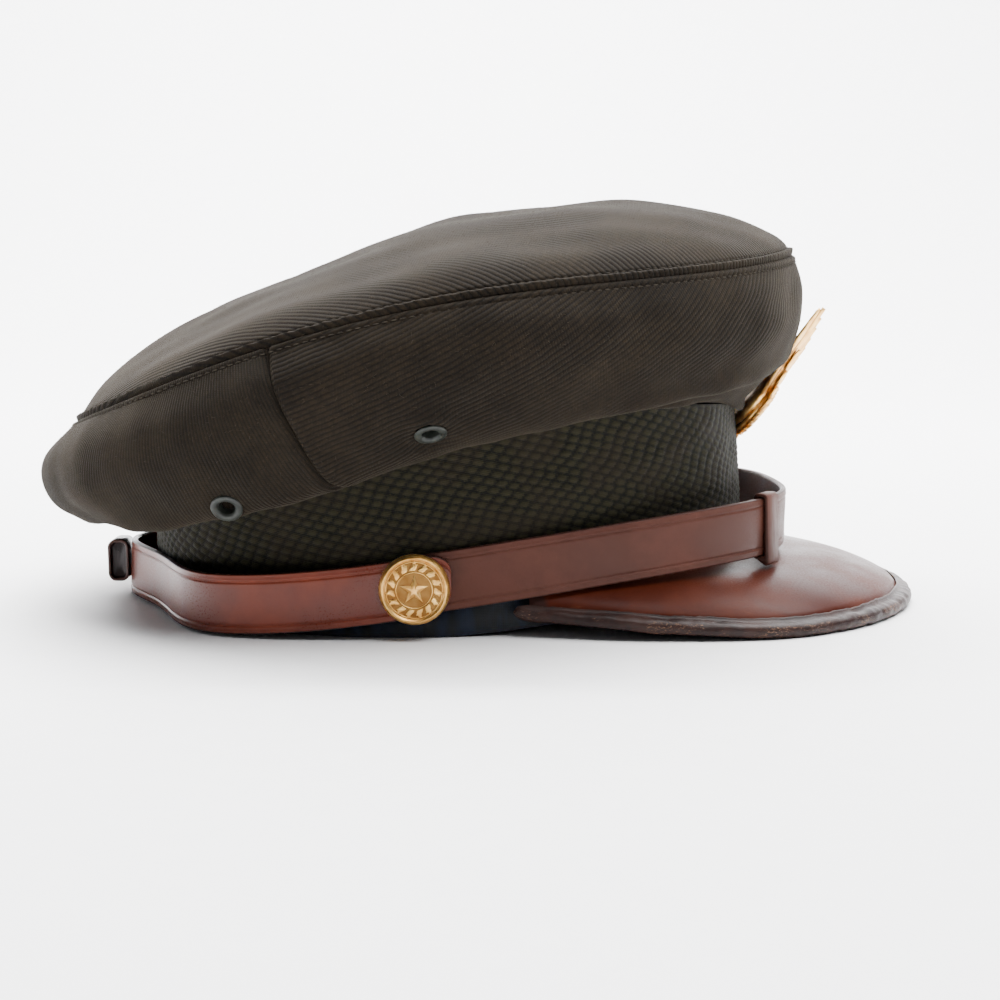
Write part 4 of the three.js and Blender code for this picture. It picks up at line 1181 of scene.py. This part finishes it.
def strap(name, ring, start, end, stations, finish, node, seed):
    """A strap along part of a ring, with rounded ends."""
    fine = np.linspace(start, end, 2000)
    track = ring_point(ring, fine)
    run = run_along(track)
    total = run[-1]
    spread_ = np.linspace(0, 1, stations)
    where = total * (0.5 - 0.5 * np.cos(np.pi * spread_)) * 0.35 + total * spread_ * 0.65
    angle = np.interp(where, run, fine)
    section = strap_section()
    low = ring_point(ring, angle)
    outward = ring_outward(ring, angle)
    near = np.minimum(where, total - where)
    round_end = 8.0
    trim = np.where(near < round_end, 1 - np.sqrt(np.maximum(1 - (1 - near / round_end) ** 2, 0)), 0) * 0.62
    half = STRAP_HEIGHT / 2
    up = half + (section[None, :, 1] - half) * (1 - trim[:, None])
    loops = low[:, None] + outward[:, None] * section[None, :, :1]
    loops[..., 2] += up
    loops = loops + outward[:, None] * (0.22 * soft_noise(loops, 30, seed))[..., None]
    around = np.concatenate([section[:, 1], [0]])
    flat = np.stack(np.meshgrid(where, around, indexing="ij"), -1)
    edge = section[None, :, 2] * np.ones((stations, 1))
    made = loft(name, loops, flat, fields={"edge": edge})
    return place(made, "strap_leather", finish, node)


def rounded_box(left, right, low, high, corner, steps=6):
    """A closed outline of a box with round corners."""
    corners = [(right - corner, low + corner, -90), (right - corner, high - corner, 0),
               (left + corner, high - corner, 90), (left + corner, low + corner, 180)]
    rows = []
    for x, y, start in corners:
        for turn in np.radians(np.linspace(start, start + 90, steps)):
            rows.append((x + corner * math.cos(turn), y + corner * math.sin(turn)))
    return np.array(rows)


def strap_loop(name, ring, angle, width, outline, hole, finish, node):
    """A leather loop round a strap, between two outlines in the strap's section, with soft edges."""
    angle = np.array(angle, float)
    centre = ring_point(ring, angle) + [0, 0, STRAP_HEIGHT / 2]
    out = ring_outward(ring, angle)
    along = np.array([-out[1], out[0], 0])
    rows = []
    half = width / 2
    edge = 0.35
    for points, side in ((outline, -half + edge), (outline, 0), (outline, half - edge)):
        rows.append((points, side, 0.0))
    inset = (outline - hole) * 0.22
    rows.append((outline - inset, half, 1.0))
    rows.append((hole + inset, half, 1.0))
    rows += [(hole, half - edge, 0.2), (hole, 0, 0.0), (hole, -half + edge, 0.2)]
    rows += [(hole + inset, -half, 1.0), (outline - inset, -half, 1.0)]
    loops = []
    for points, side, _ in rows:
        loops.append(centre + out * points[:, :1] + along * side + np.array([0, 0, 1.0]) * points[:, 1:])
    loops = np.array(loops)
    loops += 0.12 * soft_noise(loops, 5, 31)[..., None] * out
    count = loops.shape[1]
    flat = np.zeros((len(rows) + 1, count + 1, 2))
    flat[..., 0] = np.arange(len(rows) + 1)[:, None] * 2.2
    flat[..., 1] = np.arange(count + 1) * 1.4
    marks = np.array([mark for *_, mark in rows])[:, None] * np.ones((1, count))
    made = loft(name, loops, flat, closed=True, fields={"edge": marks})
    return place(made, "strap_leather", finish, node)


def keepers():
    half = STRAP_HEIGHT / 2
    wall = FRONT_KEEPER["leather"]
    hole = rounded_box(-LEATHER - GAP, GAP, -half - GAP, half + GAP, 0.3)
    outline = rounded_box(-LEATHER - GAP - wall, GAP + wall, -half - GAP - wall, half + GAP + wall, 1.4)
    front_flap = (outline[:, 0] > 0) & (outline[:, 1] < -half)
    outline[front_flap, 1] -= FRONT_KEEPER["flap"]
    hole_flap = (hole[:, 0] > 0) & (hole[:, 1] < -half)
    outline[front_flap, 0] += 0.9
    hole[hole_flap, 0] += 0.1
    strap_loop("front_keeper_loop", FRONT_STRAP, FRONT_KEEPER["angle"], FRONT_KEEPER["width"], outline, hole,
               FRONT_FINISH, "front_keeper")
    rear_tab()


def rear_tab():
    """The rear keeper: leather folded over into a thick tab, its sides sunk between the rims of the fold."""
    out, low, high = REAR_KEEPER["reach"], REAR_KEEPER["low"], REAR_KEEPER["high"]
    half, rim = REAR_KEEPER["width"] / 2, REAR_KEEPER["rim"]
    outer = rounded_box(GAP, out, low, high, 3.0, 12)
    depths = (0.2, rim - 0.2, rim, rim + 0.5)
    inset = [rounded_box(GAP + d, out - d, low + d, high - d, 3.0 - d, 12) for d in depths]
    middle = (outer.max(0) + outer.min(0)) / 2
    rows = []
    for turn in (-1, 1):
        half_rows = [
            (middle + (inset[3] - middle) * 0.02, half - 1.7),
            (inset[3], half - 1.7),
            (inset[2], half - 1.4),
            (inset[2], half - 0.3),
            (inset[1], half - 0.02),
            (inset[0], half),
            (outer, half - 0.3),
        ]
        side = [(points, along * turn) for points, along in half_rows]
        rows += side if turn < 0 else side[::-1]
    angle = np.array(math.pi)
    centre = ring_point(REAR_STRAP, angle) + [0, 0, STRAP_HEIGHT / 2]
    away = ring_outward(REAR_STRAP, angle)
    ahead = np.array([-away[1], away[0], 0])
    loops = np.array([centre + away * points[:, :1] + ahead * along + np.array([0, 0, 1.0]) * points[:, 1:]
                      for points, along in rows])
    loops += 0.15 * soft_noise(loops, 6, 31)[..., None] * away
    count = loops.shape[1]
    flat = np.zeros((len(rows), count + 1, 2))
    flat[..., 0] = np.arange(len(rows))[:, None] * 2.2
    flat[..., 1] = np.arange(count + 1) * 0.9
    marks = np.array([0, 0, 0, 0.3, 1, 1, 0.4] + [0.4, 1, 1, 0.3, 0, 0, 0])[:, None] * np.ones((1, count))
    made = loft("rear_keeper_tab", loops, flat, fields={"edge": marks})
    return place(made, "keeper_leather", KEEPER_FINISH, "rear_keeper")


def leaf_height(x, y, at, turn, length, width):
    """The height of a leaf with a midrib, at points x and y; turn is its heading from its stalk."""
    along = (x - at[0]) * math.cos(turn) + (y - at[1]) * math.sin(turn)
    beside = (y - at[1]) * math.cos(turn) - (x - at[0]) * math.sin(turn)
    t = np.clip(along / length, 0, 1)
    half = width / 2 * np.sin(np.pi * t**0.8) + 1e-6
    inside = np.clip(1 - (beside / half) ** 2, 0, 1) * ((along > 0) & (along < length))
    rib = np.exp(-((beside / (0.12 * width)) ** 2)) * inside
    return np.sqrt(inside) * 0.8 - rib * 0.25


def button_relief(x, y):
    """The button's raised work: a rolled rim, a ring of leaves and a plain star."""
    r = np.hypot(x, y)
    height = np.zeros_like(r)
    leaves = 15
    for k in range(leaves):
        for lean, inner in ((0.55, 5.75), (-0.55, 5.95)):
            turn = 2 * math.pi * (k + (0.5 if lean < 0 else 0)) / leaves
            at = (inner * math.sin(turn), inner * math.cos(turn))
            heading = math.pi / 2 - turn + lean - 0.55
            height = np.maximum(height, 0.55 * leaf_height(x, y, at, heading, 2.9, 1.5))
    height += 0.28 * bump(r, 8.35, 0.16) + 0.28 * bump(r, 5.35, 0.14)
    star = np.clip(star_facets(x, y, 4.7, 1.9), 0, 1.0)
    return np.maximum(height, 0.9 * star)


def star_facets(x, y, tip, notch):
    """The distance inside the outline of a five-pointed star, nil outside it."""
    sector = 2 * math.pi / 5
    angle = np.abs(np.mod(np.arctan2(x, y) + sector / 2, sector) - sector / 2)
    reach = np.hypot(x, y)
    px, py = reach * np.cos(angle), reach * np.sin(angle)
    cx, cy = notch * math.cos(sector / 2), notch * math.sin(sector / 2)
    length = math.hypot(cx - tip, cy)
    distance = ((cx - tip) * py - cy * (px - tip)) / length
    return np.clip(distance, 0, None)


def button(side, turn):
    """A domed gilt button with its shank."""
    rings, around = 96, 200
    radius = BUTTON_RADIUS
    r = np.linspace(0, 1, rings) ** 0.9 * (radius - 0.5)
    a = full_turn(around)
    x, y = r[:, None] * np.sin(a), r[:, None] * np.cos(a)
    dome = 1.5 + 2.2 * np.sqrt(np.maximum(0, 1 - (r / (radius * 1.18)) ** 2))[:, None] - 0.35
    raised = button_relief(x, y)
    rim = 0.85 * bump(r, 9.45, 0.62)[:, None]
    face = np.stack([x, y, dome + raised + rim], -1)
    crest = np.clip(raised / 0.45 + (rim > 0.2) * 1.0, 0, 1)
    back_rows = np.array([
        (radius - 0.12, 2.0), (radius, 1.5), (radius - 0.1, 0.9), (radius - 0.5, GAP + 0.1),
        (radius - 1.4, GAP), (2.6, GAP), (2.0, GAP - 0.3), (2.0, -4.8),
    ])
    back = np.stack([back_rows[:, :1] * np.sin(a), back_rows[:, :1] * np.cos(a),
                     back_rows[:, 1:] * np.ones(around)], -1)
    loops = np.concatenate([face[1:], back]) * [BUTTON_SWELL, BUTTON_SWELL, 1]
    crest = np.concatenate([crest[1:], np.ones((len(back), around)) * 0.8])
    angle = np.array(turn * BUTTON_ANGLE)
    normal = ring_outward(REAR_STRAP, angle)
    point = ring_point(REAR_STRAP, angle) + [0, 0, STRAP_HEIGHT / 2]
    loops = stood_on(loops, point, normal)
    flat = np.zeros((len(loops), around + 1, 2))
    made = loft(f"button_{side}_disc", loops, flat, fields={"crest": crest})
    return place(made, "gilt", BUTTON_FINISH, f"button_{side}")


# The badge: spread wings that rise from an oval laurel wreath round a plain boss


def badge_place(rows):
    """Points given across, up and out of the badge, put in the cap."""
    upward = np.array([math.sin(BADGE_LEAN), 0, math.cos(BADGE_LEAN)])
    outward = np.array([math.cos(BADGE_LEAN), 0, -math.sin(BADGE_LEAN)])
    across = rows[..., :1]
    bent = BADGE_SWEEP * across**2 + 0.006 * np.maximum(18 - rows[..., 1:2], 0) ** 2
    beside = across * np.array([0, 1.0, 0])
    return BADGE_FOOT + beside + rows[..., 1:2] * upward + (rows[..., 2:] - bent) * outward


def feather(start, end, width, base, lift, barbs=9, segments=26, around=12):
    """A feather or leaf: a long domed blade with a shaft and notched barbs, as loops from root to tip."""
    start, end = np.array(start, float), np.array(end, float)
    length = np.linalg.norm(end - start)
    forward = (end - start) / length
    beside = np.array([-forward[1], forward[0]])
    t = np.linspace(0.01, 0.995, segments)
    notches = 1 - 0.12 * np.abs(np.sin(np.pi * barbs * t))
    half = width / 2 * (np.sin(np.pi * np.clip(t, 0, 1) ** 0.62) ** 0.55) * notches
    turn = full_turn(around)
    side, rise = np.cos(turn), np.sin(turn)
    out = base + lift * t[:, None] * 0.3 + np.where(rise > 0, rise * lift, rise * 0.35)
    ridge = 0.22 * lift * np.exp(-((side / 0.25) ** 2)) * (rise > 0)
    groove = 0.1 * lift * np.abs(np.sin(np.pi * barbs * 2 * t[:, None] - np.abs(side) * 2.2)) * (rise > 0.1)
    centre = start + forward * (length * t)[:, None]
    flat = centre[:, None] + beside * (half[:, None] * side)[..., None]
    return np.concatenate([flat, (out + ridge - groove)[..., None]], -1)


def mirrored_pair(loops):
    return [loops, loops[:, ::-1] * np.array([-1, 1, 1])]


def joined_lofts(name, lofts):
    """Several capped lofts on the badge as one mesh; each has the heights of its hollows and crests."""
    points, faces, crest = [], [], []
    first = 0
    for loops, low, high in lofts:
        faces += [[first + v for v in face] for face in tube_faces(*loops.shape[:2])]
        points.append(loops.reshape(-1, 3))
        crest.append(np.clip((loops[..., 2].ravel() - low) / (high - low), 0, 1))
        first += loops.shape[0] * loops.shape[1]
    fields = {"crest": np.concatenate(crest)}
    return new_mesh(name, badge_place(np.concatenate(points)), faces, fields=fields)


WING_FEATHERS = [
    {"from": (2.5, 24.0), "to": (5.2, 33.5), "width": 4.4, "base": 0.9},
    {"from": (4.5, 23.0), "to": (9.4, 38.2), "width": 4.4, "base": 0.7},
    {"from": (7.0, 22.5), "to": (13.4, 42.2), "width": 4.5, "base": 0.5},
    {"from": (9.5, 22.0), "to": (17.2, 45.6), "width": 4.5, "base": 0.3},
    {"from": (12.0, 22.5), "to": (20.9, 49.2), "width": 4.5, "base": 0.1},
    {"from": (14.5, 23.5), "to": (24.4, 52.6), "width": 4.4, "base": -0.1},
    {"from": (17.0, 25.5), "to": (27.6, 55.6), "width": 4.2, "base": -0.3},
]
COVERT_ROWS = [
    {"from": (4.0, 21.5), "to": (19.5, 31.5), "count": 6, "length": 9.0, "width": 4.0, "base": 1.1},
    {"from": (4.5, 20.0), "to": (17.0, 26.0), "count": 6, "length": 6.0, "width": 3.4, "base": 1.6},
    {"from": (5.5, 19.0), "to": (14.5, 21.8), "count": 5, "length": 4.2, "width": 2.8, "base": 2.0},
]


def badge_wings():
    lofts = []
    for row in reversed(WING_FEATHERS):
        for loops in mirrored_pair(feather(row["from"], row["to"], row["width"], row["base"], 0.9)):
            lofts.append((loops, -0.8, 1.6))
    for row in COVERT_ROWS:
        start, end = np.array(row["from"]), np.array(row["to"])
        for k in range(row["count"]):
            t = k / (row["count"] - 1)
            root = start + (end - start) * t
            heading = math.radians(76 - 10 * t)
            tip = root + row["length"] * np.array([math.cos(heading), math.sin(heading)])
            for loops in mirrored_pair(feather(root, tip, row["width"], row["base"], 0.7, 4, 16, 10)):
                lofts.append((loops, 0.4, 2.6))
    return lofts


def badge_wreath():
    """Pairs of laurel leaves round an oval stem, from the foot up both sides to the top."""
    lofts = []
    pairs = 11
    for k in range(pairs):
        turn = math.pi * (0.05 + 0.93 * k / (pairs - 1))
        for side in (1, -1):
            across, high = WREATH["across"] * math.sin(turn) * side, WREATH["high"] * math.cos(turn)
            at = np.array([across, WREATH["up"] - high])
            heading = math.atan2(WREATH["high"] * math.sin(turn), WREATH["across"] * math.cos(turn) * side)
            for fan in (0.6, -0.6, 0.0):
                tip = at + 4.4 * np.array([math.cos(heading + fan), math.sin(heading + fan)])
                lofts.append((feather(at, tip, 2.0, 2.2 + 0.4 * (fan == 0), 0.9, 1, 14, 8), 1.6, 3.6))
    return lofts


def badge_boss():
    """A plain dome with a beaded rim inside the wreath."""
    turn = full_turn(40)
    profile = [
        (0.05, 4.1), (2.0, 3.95), (3.8, 3.5), (5.2, 2.8), (5.7, 2.5), (6.0, 2.7), (6.5, 2.75),
        (6.8, 2.4), (6.9, 1.0),
    ]
    loops = []
    for radius, out in profile:
        bead = 0.22 * np.cos(20 * turn) if 5.9 < radius < 6.9 else 0 * turn
        loops.append(np.stack([radius * np.sin(turn), WREATH["up"] + radius * np.cos(turn), out + bead], -1))
    return [(np.array(loops), 1.6, 3.2)]


# The rough pad behind the wreath: rows of reach from its middle and distance out of the badge
PAD_ROWS = [(0.9, 0.6), (1.0, 0.2), (1.04, -0.4), (1.03, -1.2), (0.97, -2.0), (0.84, -2.7), (0.5, -3.1)]


def upright_oval(across, high, up, turn, out):
    """Points of an oval on the badge, round its middle at a height up."""
    return np.stack([across * np.sin(turn), up + high * np.cos(turn), np.full_like(turn, out)], -1)


def badge_back():
    """The cast back of the wings and the wreath, with a rounded edge, and the post."""
    outline = np.array(
        [(0, 19.5), (9, 17.5), (14.5, 20.3), (19.4, 25.3), (24, 32.6), (27, 41), (28.6, 48.5), (27.8, 54.6),
         (24.4, 51.6), (20.8, 48.2), (17.3, 44.6), (13.4, 41), (9.3, 36.8), (5.4, 31.8), (0, 29)], float)
    mirrored = outline[1:-1][::-1] * [-1, 1]
    ring = np.vstack([outline, mirrored])
    ring = smooth_profile(ring)
    middle = np.array([0, 26.0])
    lofts = []
    rows = []
    for inset, out in ((0.25, -0.1), (0.05, -0.35), (0.0, -0.7), (0.1, -1.1), (0.35, -1.4)):
        drawn_in = ring + (middle - ring) * inset * 0.08
        rows.append(np.concatenate([drawn_in, np.full((len(ring), 1), out)], -1))
    wings = np.array(rows)
    wings[..., 2] += 0.12 * soft_noise(wings, 2.2, 41)
    lofts.append((wings, -2.4, -0.6))
    turn = full_turn(64)
    oval = []
    for reach, out in ((0.94, 2.3), (1.0, 2.0), (1.05, 1.5), (1.04, 0.9), (1.0, 0.4), (0.94, 0.1)):
        oval.append(upright_oval(WREATH["across"] * reach, WREATH["high"] * reach, WREATH["up"], turn, out))
    lofts.append((np.array(oval), 0, 2.2))
    pad = []
    for reach, out in PAD_ROWS:
        row = upright_oval(13.4 * reach, 12 * reach, 18.5, turn, out)
        row[:, 2] *= np.clip((row[:, 1] - 4) / 4.5, 0, 1)
        pad.append(row)
    pad = np.array(pad)
    pad[..., 2] += 0.3 * soft_noise(pad, 2.4, 43)
    lofts.append((pad, -6, 0.5))
    tube = []
    for out in (BADGE_BACK + 0.5, -BADGE_POST["length"] + 0.3):
        radius = BADGE_POST["radius"]
        tube.append(upright_oval(radius, radius, BADGE_POST["up"], turn[::4], out))
    lofts.append((np.array(tube), -20, 2))
    return lofts


def badge():
    lofts = badge_back() + badge_wings() + badge_wreath() + badge_boss()
    place(joined_lofts("badge_wings_and_wreath", lofts), "gilt", BADGE_FINISH, "badge")


# The table, the lights and the camera


def stage():
    """A pale floor that curves up into a backdrop behind the cap."""
    bend_from, bend = 0.9, 0.6
    turns = np.linspace(0.1, math.pi / 2, 14)
    profile = [(-2.2, 0.0), (bend_from, 0.0)]
    profile += [(bend_from + bend * math.sin(t), bend - bend * math.cos(t)) for t in turns]
    profile += [(bend_from + bend, 2.6)]
    points = np.array([[(x, y, z) for x in (-3.0, 3.0)] for y, z in profile])
    rows = len(profile)
    mesh = bpy.data.meshes.new("floor_and_backdrop")
    faces = [[2 * i, 2 * i + 1, 2 * i + 3, 2 * i + 2] for i in range(rows - 1)]
    mesh.from_pydata(points.reshape(-1, 3).tolist(), [], faces)
    for face in mesh.polygons:
        face.use_smooth = True
    made = bpy.data.objects.new("floor_and_backdrop", mesh)
    bpy.context.scene.collection.objects.link(made)
    material, tree, shader = new_material("pale_paper", Specular_IOR_Level=0.25)
    paper = noise(tree, body_place(tree), 9, 3, 0.5)
    white = blend(tree, paper, colour(244, 244, 245), colour(249, 249, 250))
    tree.links.new(white, shader.inputs["Base Color"])
    tree.links.new(spread(tree, paper, 0.3, 0.7, 0.6, 0.7), shader.inputs["Roughness"])
    mesh.materials.append(material)


def area_light(name, at, towards, size, watts):
    light = bpy.data.lights.new(name, "AREA")
    light.shape = "RECTANGLE"
    light.size, light.size_y = size
    light.energy = watts
    made = bpy.data.objects.new(name, light)
    made.location = at
    aim = np.array(towards, float) - np.array(at, float)
    pitch = math.atan2(math.hypot(aim[0], aim[1]), -aim[2])
    made.rotation_euler = (pitch, 0, math.atan2(-aim[0], aim[1]))
    bpy.context.scene.collection.objects.link(made)


def lights():
    area_light("overhead", (0.15, 0.15, 1.35), (0, 0, 0.05), (2.4, 1.6), 128)
    area_light("backdrop_light", (0, 0.55, 1.5), (0, 1.6, 0.2), (2.6, 0.6), 142)
    area_light("right_fill", (1.3, -0.4, 0.9), (0, 0, 0.05), (0.9, 0.9), 1.5)
    area_light("front_fill", (-0.4, -1.5, 0.8), (0, 0, 0.05), (1.4, 0.8), 0.7)
    world = bpy.data.worlds.new("studio")
    world.use_nodes = True
    world.node_tree.nodes["Background"].inputs["Color"].default_value = (0.93, 0.95, 1.0, 1)
    world.node_tree.nodes["Background"].inputs["Strength"].default_value = 0.14
    bpy.context.scene.world = world


def camera():
    made = bpy.data.objects.new("camera", bpy.data.cameras.new("camera"))
    made.data.lens = 63.94
    made.data.sensor_width = 36
    made.location = (0.00675, -0.634, 0.112)
    made.rotation_euler = (math.radians(90 - 7.1), 0, 0)
    bpy.context.scene.collection.objects.link(made)
    bpy.context.scene.camera = made


crown()
vents()
braid_band(900, 88)
lining(360, 40)
peak(220, 70)
peak_binding(360)
front_run = (-FRONT_STRAP_END, FRONT_STRAP_END)
rear_run = (REAR_STRAP_END, 2 * math.pi - REAR_STRAP_END)
strap("front_strap_leather", FRONT_STRAP, *front_run, 420, FRONT_FINISH, "chin_strap", 61)
strap("rear_strap_leather", REAR_STRAP, *rear_run, 420, REAR_FINISH, "rear_strap", 62)
keepers()
for side, turn in SIDES.items():
    button(side, turn)
badge()
stage()
lights()
camera()
